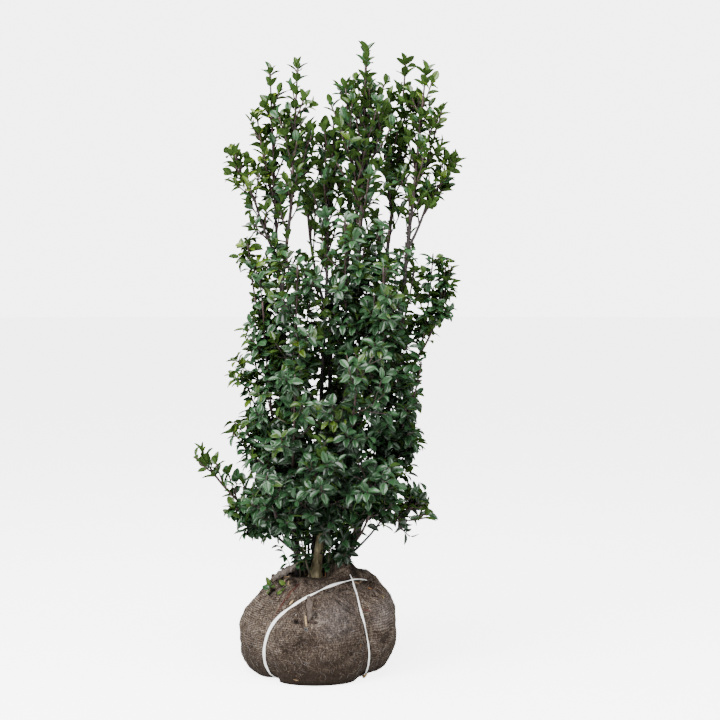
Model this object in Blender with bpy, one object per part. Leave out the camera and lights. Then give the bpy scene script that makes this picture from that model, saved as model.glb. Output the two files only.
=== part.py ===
# Blue holly hedging shrub, lifted from the nursery field with its root ball wrapped in dark cloth and
# tied with two flat white bands. Metres, +Z up. The origin is the middle of the ball's flat underside,
# -Y is the side that faces the viewer and +X is the viewer's right.
#
# The ball carries a short pale trunk and four stems beside it. They rise through the foliage as long
# upright leaders and bear boughs. Every mass of foliage is one shoot that starts 0.3 mm clear of its limb,
# with twigs round it at the golden angle and leaves round each twig, all joined into one solid.
import math
import random

import bpy
import numpy as np
from mathutils import Matrix, Vector
from mathutils.bvhtree import BVHTree

# Clearances between neighbouring solids
SEAT_GAP = 0.0003
LIMB_CLEARANCE = 0.0030
SPACE_MARGIN = 0.0060

# Root ball: a rounded square in section, squarer on its right side than on its left, standing flat
BALL_RADIUS = 0.185
BALL_WAIST = 0.100
BALL_TOP_RISE = 0.132
BALL_TOP_SQUARENESS = 2.3
BALL_TOP_SQUARENESS_RIGHT = 0.7
BALL_FOOT_DROP = 0.125
BALL_FOOT_SQUARENESS = 3.0
BALL_SIDES = 42
BALL_TOP_RINGS = 8
BALL_FOOT_RINGS = 6
# The level floor of cloth that the stems stand on, and the gathered cloth that stands up round it
FLOOR_RADIUS = 0.061
FLOOR_LEVEL = 0.218
FLOOR_EDGE = 0.018
GATHER_RADIUS = 0.090
GATHER_WIDTH = 0.032
GATHER_HEIGHT = 0.019
GATHER_MORE_LEFT = 0.009
GATHER_MORE_BEHIND = 0.0125
GATHER_MORE_AT_SIDES = 0.006

# Flat white bands round the ball: each run lies in a plane through the knot, given by the plane's normal
BAND_THICKNESS = 0.0008
BAND_LIFT = 0.0010
BAND_FOOT = 0.0025
BAND_PINCH = 0.0110
BAND_PINCH_WIDTH = 0.024
BAND_POINTS = 72
BAND_STEP = 0.012
CROSSING_LIFT = 0.0040
CROSSING_WIDTH = 0.020
KNOT = Vector((0.075, -0.046, 0.2255))
SLANTING_PLANE = Vector((0.53, -0.78, -0.33)).normalized()
FRONT_PLANE = Vector((0.945, 0.325, 0.02)).normalized()
BACK_PLANE = Vector((0.985, -0.170, 0.0)).normalized()
SLANTING_WIDTH = 0.0110
UPRIGHT_WIDTH = 0.0075

# Limbs: (name, parent, share of the parent where it starts, tip, outward pull, foot and tip radius).
# A limb with no parent stands on the ball's level floor at the place given instead of the share.
# The outward pull is how much of the sideways way is done before the limb turns upright.
LIMBS = (
    ("trunk", None, (0.000, -0.012), (0.014, -0.006, 0.348), 0.40, 0.0165, 0.0125),
    ("stem_left", None, (-0.046, 0.008), (-0.082, -0.008, 0.905), 0.75, 0.0105, 0.0050),
    ("stem_right", None, (0.048, 0.006), (0.203, 0.000, 0.930), 0.80, 0.0120, 0.0052),
    ("stem_back", None, (0.002, 0.048), (0.030, 0.120, 0.860), 0.75, 0.0110, 0.0050),
    ("stem_middle", None, (-0.014, 0.028), (0.022, 0.038, 0.960), 0.50, 0.0080, 0.0040),
    ("leader_centre", "trunk", 1.00, (0.098, -0.022, 1.010), 0.75, 0.0095, 0.0045),
    ("leader_inner_right", "trunk", 0.42, (0.165, 0.066, 1.000), 0.75, 0.0085, 0.0042),
    ("bough_inner_left", "stem_left", 1.00, (-0.062, -0.012, 1.075), 0.45, 0.0046, 0.0036),
    ("bough_outer_left", "stem_left", 0.93, (-0.099, 0.014, 1.065), 0.75, 0.0040, 0.0032),
    ("bough_spray_left", "bough_outer_left", 0.55, (-0.146, -0.014, 1.100), 0.65, 0.0032, 0.0026),
    ("bough_outer_right", "stem_right", 1.00, (0.219, -0.008, 1.080), 0.45, 0.0048, 0.0038),
    ("bough_spray_right", "bough_outer_right", 0.35, (0.256, 0.006, 1.100), 0.65, 0.0034, 0.0028),
    ("bough_back_left", "stem_back", 0.94, (-0.022, 0.134, 1.010), 0.75, 0.0040, 0.0032),
    ("bough_back_right", "stem_back", 1.00, (0.084, 0.140, 1.030), 0.65, 0.0046, 0.0034),
    ("arm_left", "stem_left", 0.100, (-0.128, -0.018, 0.352), 0.65, 0.0045, 0.0036),
    ("arm_right", "stem_right", 0.080, (0.148, -0.012, 0.350), 0.60, 0.0048, 0.0038),
)
TRUNK_FLARE = 0.0085
FLARE_HEIGHT = 0.016
RING_SPACING = 0.080
LIMB_SIDES = 8
TRUNK_SIDES = 12

# Masses of foliage: (name, limb, share of the limb where it starts, tip, outward pull, reach, twigs).
# The tip is where its furthest leaves end, and the reach is how far its side twigs and leaves go out.
MASSES = (
    ("crown_inner_left", "bough_inner_left", 1.0, (-0.045, -0.010, 1.425), 0.50, 0.060, 4),
    ("crown_outer_left", "bough_outer_left", 1.0, (-0.113, 0.012, 1.412), 0.50, 0.062, 4),
    ("crown_spray_left", "bough_spray_left", 1.0, (-0.200, -0.020, 1.222), 0.70, 0.062, 3),
    ("crown_middle", "stem_middle", 1.0, (0.016, 0.030, 1.290), 0.60, 0.080, 5),
    ("crown_centre", "leader_centre", 1.0, (0.112, -0.020, 1.463), 0.60, 0.085, 7),
    ("crown_inner_right", "leader_inner_right", 1.0, (0.208, 0.060, 1.438), 0.60, 0.072, 5),
    ("crown_outer_right", "bough_outer_right", 1.0, (0.252, -0.010, 1.412), 0.50, 0.068, 5),
    ("crown_spray_right", "bough_spray_right", 1.0, (0.324, 0.002, 1.208), 0.70, 0.065, 3),
    ("crown_back_left", "bough_back_left", 1.0, (-0.048, 0.150, 1.320), 0.60, 0.080, 4),
    ("crown_back_right", "bough_back_right", 1.0, (0.122, 0.162, 1.360), 0.60, 0.080, 4),
    ("upper_left", "stem_left", 0.68, (-0.168, 0.004, 1.005), 0.80, 0.080, 4),
    ("upper_front_left", "stem_left", 0.58, (-0.040, -0.128, 0.965), 0.80, 0.095, 5),
    ("upper_front", "leader_centre", 0.55, (0.064, -0.120, 1.070), 0.80, 0.090, 5),
    ("upper_front_right", "stem_right", 0.52, (0.150, -0.152, 0.960), 0.75, 0.095, 5),
    ("upper_right", "stem_right", 0.66, (0.316, -0.018, 0.955), 0.80, 0.080, 4),
    ("upper_back_right", "leader_inner_right", 0.52, (0.238, 0.168, 0.960), 0.80, 0.095, 4),
    ("upper_back", "stem_back", 0.66, (0.096, 0.212, 0.965), 0.80, 0.090, 4),
    ("upper_back_left", "stem_back", 0.54, (-0.108, 0.178, 0.985), 0.80, 0.095, 4),
    ("middle_left", "stem_left", 0.40, (-0.160, 0.030, 0.780), 0.80, 0.090, 4),
    ("middle_front_left", "stem_left", 0.34, (-0.046, -0.165, 0.720), 0.90, 0.100, 5),
    ("middle_front", "leader_centre", 0.22, (0.098, -0.192, 0.745), 0.90, 0.105, 5),
    ("middle_right", "stem_right", 0.42, (0.246, -0.090, 0.745), 0.80, 0.095, 5),
    ("middle_back_right", "stem_right", 0.32, (0.240, 0.136, 0.700), 0.80, 0.100, 4),
    ("middle_back", "stem_back", 0.34, (0.062, 0.215, 0.700), 0.80, 0.100, 4),
    ("middle_back_left", "stem_back", 0.26, (-0.135, 0.140, 0.640), 0.80, 0.100, 4),
    ("lower_arm_left", "arm_left", 1.0, (-0.284, -0.020, 0.522), 0.70, 0.062, 4),
    ("lower_skirt_left", "arm_left", 0.50, (-0.206, -0.050, 0.372), 0.50, 0.075, 4),
    ("lower_left", "stem_left", 0.22, (-0.180, 0.030, 0.590), 0.80, 0.090, 4),
    ("lower_front_left", "stem_left", 0.13, (-0.112, -0.176, 0.490), 0.90, 0.100, 5),
    ("lower_front", "trunk", 0.84, (0.018, -0.206, 0.540), 0.90, 0.105, 6),
    ("lower_front_right", "stem_right", 0.13, (0.138, -0.175, 0.500), 0.90, 0.100, 6),
    ("lower_arm_right", "arm_right", 1.0, (0.262, -0.014, 0.412), 0.70, 0.075, 5),
    ("lower_right", "stem_right", 0.22, (0.238, 0.010, 0.600), 0.75, 0.090, 5),
    ("lower_back_right", "stem_back", 0.15, (0.158, 0.176, 0.470), 0.90, 0.100, 4),
    ("lower_back_left", "stem_back", 0.10, (-0.092, 0.184, 0.450), 0.90, 0.105, 4),
)
TIP_LEAF_SHARE = 0.88
SHOOT_SIDES = 3
SHOOT_RINGS = 6
SHOOT_RADII = (0.0038, 0.0022)
TWIG_SIDES = 3
TWIG_RADII = (0.0017, 0.0013)
TWIG_ANGLE = math.radians(52)
TWIG_UPTURN = 0.45
TWIG_STATIONS = (0.20, 0.84)
TIP_TAPER = 0.50
LENGTH_TRIES = (1.0, 0.8, 0.6)
GOLDEN_ANGLE = math.radians(137.508)

# Leaves, larger than life, and longer in a mass that reaches further: each stands for several real ones
LEAF_LENGTH_SLIM = 0.032
LEAF_LENGTH_PER_REACH = 0.48
LEAF_WIDTH = 0.60
LEAF_THICKNESS = 0.024
LEAF_WIDEST = 0.48
LEAF_FOLD = 0.060
LEAF_SINK = 0.0010
LEAF_ANGLE = math.radians(50)
TWIG_LEAF_SHARES = (0.45, 0.75, 1.0)
SHOOT_LEAF_SPACING = 0.040
SHOOT_BARE = 0.22
LEAF_ROLL = math.radians(50)
LEAF_TRIES = ((1.0, 0), (1.0, 120), (1.0, 240), (0.85, 30), (0.85, 150), (0.85, 270), (0.7, 0), (0.7, 120))
SEED = 2026

# Small side sprout that has pushed through the cloth on the ball's left shoulder
SPROUT_PLACE = (-0.118, -0.045)
SPROUT_GAP = 0.0010
SPROUT_HEIGHT = 0.030
SPROUT_RADII = (0.0018, 0.0014)
SPROUT_LEAVES = 5
SPROUT_LEAF_LENGTH = 0.025

BARK_PALE = (0.230, 0.200, 0.130)
BARK_DARK = (0.085, 0.065, 0.055)
LEAF_GREEN = (0.035, 0.095, 0.040)
CLOTH_BROWN = (0.095, 0.075, 0.062)
BAND_WHITE = (0.780, 0.770, 0.740)

made_materials = {}


def material(name, colour, roughness):
    if name not in made_materials:
        made = bpy.data.materials.new(name)
        made.use_nodes = True
        shader = made.node_tree.nodes["Principled BSDF"]
        shader.inputs["Base Color"].default_value = (*colour, 1.0)
        shader.inputs["Roughness"].default_value = roughness
        shader.inputs["Metallic"].default_value = 0.0
        made.diffuse_color = (*colour, 1.0)
        made_materials[name] = made
    return made_materials[name]


def new_object(name, vertices, faces, collection=None):
    mesh = bpy.data.meshes.new(name)
    mesh.from_pydata([tuple(v) for v in vertices], [], faces)
    mesh.validate()
    made = bpy.data.objects.new(name, mesh)
    (collection or bpy.context.scene.collection).objects.link(made)
    return made


def remove(made):
    mesh = made.data
    bpy.data.objects.remove(made)
    bpy.data.meshes.remove(mesh)


def apply_modifiers(made):
    """The object's mesh becomes what its modifiers make of it."""
    bpy.context.view_layer.update()
    graph = bpy.context.evaluated_depsgraph_get()
    mesh = bpy.data.meshes.new_from_object(made.evaluated_get(graph))
    made.modifiers.clear()
    made.data = mesh


def finish(made, surface, smooth_angle=None):
    made.data.materials.clear()
    made.data.materials.append(surface)
    if smooth_angle is not None:
        made.data.shade_smooth()
        made.data.set_sharp_from_angle(angle=math.radians(smooth_angle))


# Curves: a limb or shoot runs along a quadratic curve whose middle control point sets its bow
class Curve:
    def __init__(self, foot, tip, pull, radii, rings, seat_way=None):
        """pull is the share of the sideways way that is done by the control point, halfway up at most.
        seat_way is the direction that the foot is cut square to, where it stands on something."""
        self.foot, self.tip = Vector(foot), Vector(tip)
        way = self.tip - self.foot
        rise = 0.5 - 0.35 * (pull - 0.5)
        self.control = self.foot + Vector((way.x * pull, way.y * pull, way.z * rise))
        self.radii = radii
        self.rings = rings
        self.seat_way = seat_way
        self.points = [self.at(i / (rings - 1)) for i in range(rings)]

    def side_at(self, t):
        """The direction from the middle line to the first corner of a tube round it."""
        return across(self.way_at(t), across(self.way_at(0.0), Vector((1.0, 0.3, 0.1))))

    def at(self, t):
        return self.foot * (1 - t) ** 2 + self.control * 2 * t * (1 - t) + self.tip * t * t

    def inside(self, t):
        """The place at share t on the middle line of the tube, which is straight from ring to ring."""
        ring = min(int(t * (self.rings - 1)), self.rings - 2)
        return self.points[ring].lerp(self.points[ring + 1], t * (self.rings - 1) - ring)

    def way_at(self, t):
        return ((self.control - self.foot) * (1 - t) + (self.tip - self.control) * t).normalized()

    def radius_at(self, t):
        return self.radii[0] + (self.radii[1] - self.radii[0]) * t


def across(way, near):
    """A unit vector square to way, as near as it can be to the vector near."""
    side = near - way * near.dot(way)
    return side.normalized() if side.length > 1e-6 else way.orthogonal().normalized()


def tube_shape(curve, sides, swell=None, extra=0.0):
    """Vertices and faces of a closed tube round a curve. swell(t) adds to the radius, extra adds all along."""
    vertices, faces, rings = [], [], curve.rings
    for i in range(rings):
        t = i / (rings - 1)
        way = curve.seat_way if curve.seat_way and i == 0 else curve.way_at(t)
        side = across(way, curve.side_at(t))
        other = way.cross(side)
        radius = curve.radius_at(t) + extra + (swell(t) if swell else 0.0)
        for k in range(sides):
            angle = 2 * math.pi * k / sides
            vertices.append(curve.at(t) + (side * math.cos(angle) + other * math.sin(angle)) * radius)
    for i in range(rings - 1):
        for k in range(sides):
            a, b = i * sides + k, i * sides + (k + 1) % sides
            faces.append((a, b, b + sides, a + sides))
    faces.append(tuple(reversed(range(sides))))
    faces.append(tuple(range((rings - 1) * sides, rings * sides)))
    return vertices, faces


# Root ball and its two bands
def gather_height(azimuth):
    """How far the gathered cloth stands up: high on the left and behind, not at all in front."""
    height = GATHER_HEIGHT - GATHER_MORE_LEFT * math.cos(azimuth) + GATHER_MORE_BEHIND * math.sin(azimuth)
    return max(0.0, height + GATHER_MORE_AT_SIDES * math.cos(2 * azimuth))


def ball_point(share, azimuth):
    """A point of the ball's skin: share runs from 1 at the floor of cloth by 0 at the waist to -1 below."""
    if share >= 0:
        squareness = BALL_TOP_SQUARENESS + BALL_TOP_SQUARENESS_RIGHT * math.cos(azimuth)
        angle = share * math.acos((FLOOR_RADIUS / BALL_RADIUS) ** (squareness / 2))
        radius = BALL_RADIUS * math.cos(angle) ** (2 / squareness)
        level = BALL_WAIST + BALL_TOP_RISE * math.sin(angle) ** (2 / squareness)
        level += gather_height(azimuth) * math.exp(-(((radius - GATHER_RADIUS) / GATHER_WIDTH) ** 2))
        inward = min(1.0, max(0.0, (radius - FLOOR_RADIUS) / FLOOR_EDGE))
        blend = inward * inward * (3 - 2 * inward)
        level = FLOOR_LEVEL + (level - FLOOR_LEVEL) * blend
    else:
        angle = -share * math.asin((BALL_WAIST / BALL_FOOT_DROP) ** (BALL_FOOT_SQUARENESS / 2))
        radius = BALL_RADIUS * math.cos(angle) ** (2 / BALL_FOOT_SQUARENESS)
        level = BALL_WAIST - BALL_FOOT_DROP * math.sin(angle) ** (2 / BALL_FOOT_SQUARENESS)
        blend = 1.0
    radius *= 1 + blend * (0.010 * math.sin(3 * azimuth + 0.9) + 0.008 * math.sin(5 * azimuth - 11 * level))
    point = Vector((radius * math.cos(azimuth), radius * math.sin(azimuth), max(0.0, level)))
    runs = (SLANTING_PLANE, FRONT_PLANE if point.y < KNOT.y else BACK_PLANE)
    for normal in runs:
        offset = (point - KNOT).dot(normal)
        pinch = blend * BAND_PINCH * math.exp(-((offset / BAND_PINCH_WIDTH) ** 2))
        point.xy *= 1 - pinch / BALL_RADIUS
        point.z -= pinch * max(0.0, level - BALL_WAIST) / BALL_TOP_RISE
    return point


def make_ball():
    shares = [1 - i / BALL_TOP_RINGS for i in range(BALL_TOP_RINGS)]
    shares += [-i / BALL_FOOT_RINGS for i in range(BALL_FOOT_RINGS + 1)]
    azimuths = [2 * math.pi * k / BALL_SIDES for k in range(BALL_SIDES)]
    vertices = [ball_point(share, azimuth) for share in shares for azimuth in azimuths]
    faces = []
    for i in range(len(shares) - 1):
        for k in range(BALL_SIDES):
            a, b = i * BALL_SIDES + k, i * BALL_SIDES + (k + 1) % BALL_SIDES
            faces.append((b, a, a + BALL_SIDES, b + BALL_SIDES))
    faces.append(tuple(range(BALL_SIDES)))
    faces.append(tuple(reversed(range((len(shares) - 1) * BALL_SIDES, len(shares) * BALL_SIDES))))
    ball = new_object("root_ball", vertices, faces)
    finish(ball, material("root_ball_cloth", CLOTH_BROWN, 0.95), 60)
    return ball


def outer_hull(points):
    """The convex outline of points in a plane, as indices in anticlockwise order."""
    order = sorted(range(len(points)), key=lambda i: points[i])

    def half(indices):
        kept = []
        for i in indices:
            while len(kept) > 1:
                (x0, y0), (x1, y1), (x2, y2) = points[kept[-2]], points[kept[-1]], points[i]
                if (x1 - x0) * (y2 - y0) - (y1 - y0) * (x2 - x0) > 0:
                    break
                kept.pop()
            kept.append(i)
        return kept[:-1]

    return half(order) + half(reversed(order))


def band_path(normal, skin):
    """The taut line of a band in one plane, from the floor in front over the ball to the floor behind: the
    convex outline of the ball's section."""
    middle = Vector((0.0, 0.0, BALL_WAIST))
    middle += normal * (KNOT - middle).dot(normal)
    first = across(normal, Vector((0, 0, -1)))
    second = normal.cross(first)
    flat, solid = [], []
    for i in range(BAND_POINTS):
        angle = 2 * math.pi * i / BAND_POINTS
        way = first * math.cos(angle) + second * math.sin(angle)
        hit = skin.ray_cast(middle + way, -way)[0]
        flat.append(((hit - middle).dot(first), (hit - middle).dot(second)))
        solid.append(hit)
    ring = [solid[i] for i in outer_hull(flat)]
    lowest = min(range(len(ring)), key=lambda i: ring[i].z)
    ring = ring[lowest:] + ring[:lowest]
    path = [p for p in ring if p.z > BAND_FOOT]
    return path if path[0].y < path[-1].y else path[::-1]


def even_steps(path):
    """The path again, with sections about one band step apart along each straight run."""
    steps = [path[0]]
    for a, b in zip(path, path[1:]):
        parts = max(1, round((b - a).length / BAND_STEP))
        steps += [a.lerp(b, k / parts) for k in range(1, parts + 1)]
    return steps


def knotted_path(front, back):
    """The front run as far as the knot, and the back run from there on."""
    up = [p for p in front if p.y < KNOT.y - CROSSING_WIDTH / 2]
    down = [p for p in back if p.y > KNOT.y + CROSSING_WIDTH / 2]
    return [*up, (up[-1] + down[0]) / 2 + Vector((0, 0, BAND_LIFT)), *down]


def clear_lift(skin, middle, edge, step):
    """How far a piece of the band, one step long, has to be lifted to lie clear of the ball."""
    lift = 0.0
    for x in (-1.0, -0.5, 0.0, 0.5, 1.0):
        for y in (-0.5, -0.25, 0.0, 0.25, 0.5):
            point = middle + edge * x + step * y
            place, normal = skin.find_nearest(point)[:2]
            lift = max(lift, BAND_LIFT - (point - place).dot(normal))
    return lift


def make_band(name, path, width, skin, crosses_over=False):
    """A flat strip that follows its path with its face to the ball, lifted over the band that it crosses."""
    last = len(path) - 1
    outs, edges, lifts = [], [], []
    for i, p in enumerate(path):
        step = (path[min(i + 1, last)] - path[max(i - 1, 0)]) / 2
        way = step.normalized()
        near = [skin.find_nearest(path[min(max(i + k, 0), last)])[1] for k in (-2, -1, 0, 1, 2)]
        outs.append(across(way, sum(near, Vector())))
        edges.append(outs[i].cross(way) * width / 2)
        lifts.append(clear_lift(skin, p, edges[i], step))
        if crosses_over:
            lifts[i] += CROSSING_LIFT * math.exp(-(((p - KNOT).length / CROSSING_WIDTH) ** 2))
    vertices, faces = [], []
    for i, p in enumerate(path):
        lift = max(lifts[max(i - 1, 0) : i + 2])
        low, high = p + outs[i] * lift, p + outs[i] * (lift + BAND_THICKNESS)
        vertices += [low - edges[i], low + edges[i], high + edges[i], high - edges[i]]
    for i in range(last):
        for k in range(4):
            a, b = 4 * i + k, 4 * i + (k + 1) % 4
            faces.append((a, b, b + 4, a + 4))
    faces.append((3, 2, 1, 0))
    faces.append((4 * last, 4 * last + 1, 4 * last + 2, 4 * last + 3))
    band = new_object(name, vertices, faces)
    finish(band, material(name + "_tape", BAND_WHITE, 0.55))


# Limbs: the trunk, the stems beside it, the leaders and the boughs
def cut_clear(made, curve, sides, swell=None):
    """Takes what lies inside a neighbouring limb, and the seat gap round it, from an object."""
    cutter = new_object("cutter", *tube_shape(curve, sides, swell, extra=SEAT_GAP))
    cutter.hide_render = True
    cutter.display_type = "WIRE"
    cut = made.modifiers.new("seat", "BOOLEAN")
    cut.operation = "DIFFERENCE"
    cut.object = cutter
    apply_modifiers(made)
    remove(cutter)


def limb_sides(name):
    return TRUNK_SIDES if name == "trunk" else LIMB_SIDES


def limb_swell(name):
    """The root flare, on the trunk alone."""
    if name != "trunk":
        return None
    height = LIMBS[0][3][2] - FLOOR_LEVEL
    return lambda t: TRUNK_FLARE * math.exp(-t * height / FLARE_HEIGHT)


def limb_rings(name, foot, tip):
    """Enough rings for the bow of a limb, and for the flare of the trunk."""
    return 9 if name == "trunk" else max(3, 1 + round((Vector(tip) - foot).length / RING_SPACING))


def start_of(curves, parent, share):
    """Where a limb or shoot starts on its parent, and the way its foot is square to: just past the parent's
    tip, or on its middle line, from where it is cut clear."""
    if share == 1.0:
        return curves[parent].tip + curves[parent].way_at(1.0) * SEAT_GAP, curves[parent].way_at(1.0)
    return curves[parent].inside(share), None


def make_limbs():
    curves = {}
    for name, parent, place, tip, pull, foot_radius, tip_radius in LIMBS:
        if parent is None:
            foot, seat_way = Vector((*place, FLOOR_LEVEL + SEAT_GAP)), Vector((0, 0, 1))
        else:
            foot, seat_way = start_of(curves, parent, place)
        curve = Curve(foot, tip, pull, (foot_radius, tip_radius), limb_rings(name, foot, tip), seat_way)
        limb = new_object(name, *tube_shape(curve, limb_sides(name), limb_swell(name)))
        if parent is not None and place != 1.0:
            cut_clear(limb, curves[parent], limb_sides(parent), limb_swell(parent))
        pale = name == "trunk"
        surface = material(name + "_bark", BARK_PALE if pale else BARK_DARK, 0.85)
        finish(limb, surface, 50)
        curves[name] = curve
    return curves


# Space of each mass: nearer to its own shoot than to any other, within its reach, and clear of the limbs
def chain_distances(points, chain):
    """Distances from each point to a chain of straight runs, and where along it the nearest place is."""
    starts, ends = np.array(chain[:-1]), np.array(chain[1:])
    runs = ends - starts
    offsets = points[:, None, :] - starts[None, :, :]
    along = np.clip((offsets * runs).sum(2) / (runs * runs).sum(1), 0.0, 1.0)
    gaps = np.linalg.norm(offsets - along[..., None] * runs, axis=2)
    nearest = gaps.argmin(axis=1)
    rows = np.arange(len(points))
    return gaps[rows, nearest], (nearest + along[rows, nearest]) / len(starts)


class Space:
    def __init__(self, limbs, shoots):
        self.limbs = [([tuple(p) for p in c.points], c) for c in limbs.values()]
        self.shoots = {name: [tuple(p) for p in c.points] for name, c in shoots.items()}

    def holds(self, name, reach, corners, thickness):
        """Whether a twig or leaf with these corners stays in the space of the mass of that name."""
        points = np.array([tuple(p) for p in corners])
        own, _ = chain_distances(points, self.shoots[name])
        if own.max() > reach:
            return False
        for other, chain in self.shoots.items():
            if other != name and (chain_distances(points, chain)[0] < own + SPACE_MARGIN).any():
                return False
        for chain, curve in self.limbs:
            gaps, along = chain_distances(points, chain)
            radii = curve.radii[0] + (curve.radii[1] - curve.radii[0]) * along
            if (gaps < radii + thickness + LIMB_CLEARANCE).any():
                return False
        return points[:, 2].min() > 0.0


# Twigs and leaves
def leaf_shape(root, way, face, length):
    """A pointed leaf of six faces: two on top, folded along the midrib, and four round a keel underneath.
    Its root is sunk in the twig."""
    side = way.cross(face).normalized()
    face = side.cross(way)
    middle = root + way * length * LEAF_WIDEST
    half, fold, thick = (length * x for x in (LEAF_WIDTH / 2, LEAF_FOLD, LEAF_THICKNESS))
    corners = [
        root - way * LEAF_SINK,
        root + way * length,
        middle + side * half + face * fold,
        middle - side * half + face * fold,
        middle - face * thick,
    ]
    return corners, [(0, 2, 1), (0, 1, 3), (2, 0, 4), (1, 2, 4), (3, 1, 4), (0, 3, 4)]


def leaf_samples(corners):
    """The leaf's corners and the middles of its four edges, where it could touch something."""
    root, tip, right, left = corners[:4]
    return [*corners, (root + right) / 2, (root + left) / 2, (tip + right) / 2, (tip + left) / 2]


def crosses(shape, others):
    tree = BVHTree.FromPolygons(*shape)
    return any(tree.overlap(other) for other in others)


def place_leaf(axis, t, turn, roll, length, accept):
    """A leaf on one of the three faces of a shoot or twig, leaning from it, facing the sky but for its roll."""
    way = axis.way_at(t)
    lean = LEAF_ANGLE * (1.0 - 0.45 * t)
    for size, more in LEAF_TRIES:
        side = Matrix.Rotation(math.radians(60 + turn + more), 3, way) @ axis.side_at(t)
        leaf_way = (way * math.cos(lean) + side * math.sin(lean)).normalized()
        face = across(leaf_way, Vector((0, 0, 1.0)) + way)
        face = Matrix.Rotation(roll, 3, leaf_way) @ face
        shape = leaf_shape(axis.inside(t), leaf_way, face, length * size)
        if accept(shape):
            return shape
    return None


def twig_curve(shoot, t, azimuth, length):
    """A straight twig that leaves the shoot at the twig angle, turned up a little towards the light."""
    way = shoot.way_at(t)
    side = Matrix.Rotation(azimuth, 3, way) @ across(way, Vector((1.0, 0.2, 0.0)))
    twig_way = way * math.cos(TWIG_ANGLE) + side * math.sin(TWIG_ANGLE)
    twig_way = (twig_way + Vector((0, 0, 1.0)) * TWIG_UPTURN).normalized()
    return Curve(shoot.inside(t), shoot.inside(t) + twig_way * length, 0.5, TWIG_RADII, 2)


def leaf_length(reach):
    return LEAF_LENGTH_SLIM + LEAF_LENGTH_PER_REACH * reach


def grow_mass(name, shoot, reach, twigs, space, rng):
    """The shapes of one mass: its twigs, and the leaves round them and round its shoot."""
    shapes = []
    trees = [BVHTree.FromPolygons(*tube_shape(shoot, SHOOT_SIDES))]
    leaves = round((1 - SHOOT_BARE) * (shoot.tip - shoot.foot).length / SHOOT_LEAF_SPACING)
    axes = [(shoot, [1 - (1 - SHOOT_BARE) * i / leaves for i in range(leaves)], trees[0])]
    azimuth = rng.uniform(0, 2 * math.pi)
    for i in range(twigs):
        t = TWIG_STATIONS[0] + (TWIG_STATIONS[1] - TWIG_STATIONS[0]) * i / (twigs - 1)
        azimuth += GOLDEN_ANGLE
        length = (reach - leaf_length(reach) * 0.55) * (1 - TIP_TAPER * t) * rng.uniform(0.85, 1.15)
        for share in LENGTH_TRIES:
            twig = twig_curve(shoot, t, azimuth, length * share)
            if space.holds(name, reach, [twig.at(k / 4) for k in (1, 2, 3, 4)], TWIG_RADII[0]):
                shapes.append(tube_shape(twig, TWIG_SIDES))
                trees.append(BVHTree.FromPolygons(*shapes[-1]))
                axes.append((twig, TWIG_LEAF_SHARES, trees[-1]))
                break
    for axis, shares, own in axes:
        first = rng.choice((0, 120, 240))
        for k, t in enumerate(shares):
            others = [tree for tree in trees if tree is not own]

            def fits(shape):
                corners, faces = shape
                outer = ([corners[0].lerp(corners[1], 0.3), *corners[1:]], faces)
                if crosses(shape, others) or crosses(outer, [own]):
                    return False
                return space.holds(name, reach, leaf_samples(corners), 0.0)

            roll = rng.uniform(-LEAF_ROLL, LEAF_ROLL)
            leaf = place_leaf(axis, t, first + 120 * k, roll, leaf_length(reach), fits)
            if leaf:
                shapes.append(leaf)
                trees.append(BVHTree.FromPolygons(*leaf))
    return shapes


def join_shapes(base, shapes, solver="EXACT"):
    """One Boolean union of a solid with a collection of twigs and leaves, applied, with the pieces removed."""
    pieces = bpy.data.collections.new("pieces")
    bpy.context.scene.collection.children.link(pieces)
    for i, (vertices, faces) in enumerate(shapes):
        new_object(f"piece_{i}", vertices, faces, pieces)
    union = base.modifiers.new("foliage", "BOOLEAN")
    union.operation = "UNION"
    union.operand_type = "COLLECTION"
    union.collection = pieces
    union.solver = solver
    apply_modifiers(base)
    for piece in list(pieces.objects):
        remove(piece)
    bpy.data.collections.remove(pieces)


def make_masses(limbs):
    shoots = {}
    for name, limb, share, tip, pull, reach, twigs in MASSES:
        foot, seat_way = start_of(limbs, limb, share)
        tip = Vector(tip)
        end = tip - (tip - foot).normalized() * leaf_length(reach) * TIP_LEAF_SHARE
        shoots[name] = Curve(foot, end, pull, SHOOT_RADII, SHOOT_RINGS, seat_way)
    space = Space(limbs, shoots)
    for i, (name, limb, share, tip, pull, reach, twigs) in enumerate(MASSES):
        shoot = shoots[name]
        mass = new_object(name, *tube_shape(shoot, SHOOT_SIDES))
        if share != 1.0:
            cut_clear(mass, limbs[limb], limb_sides(limb), limb_swell(limb))
        join_shapes(mass, grow_mass(name, shoot, reach, twigs, space, random.Random(SEED + i)))
        finish(mass, material(name + "_leaves", LEAF_GREEN, 0.35))


def make_sprout(skin):
    """The sprout stands on the cloth: a short stem, square to the skin, with a rosette of small leaves."""
    foot, out, *_ = skin.ray_cast(Vector((*SPROUT_PLACE, 1.0)), Vector((0, 0, -1)))
    foot = foot + out * SPROUT_GAP
    way = (out + Vector((0, 0, 1))).normalized()
    stem = Curve(foot, foot + way * SPROUT_HEIGHT, 0.5, SPROUT_RADII, 2)
    sprout = new_object("sprout", *tube_shape(stem, SHOOT_SIDES))
    shapes = []
    for i in range(SPROUT_LEAVES):
        t = 0.45 + 0.55 * i / (SPROUT_LEAVES - 1)
        shapes.append(place_leaf(stem, t, 120 * i, 0.0, SPROUT_LEAF_LENGTH, lambda shape: True))
    join_shapes(sprout, shapes)
    finish(sprout, material("sprout_leaves", LEAF_GREEN, 0.35))


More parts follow.
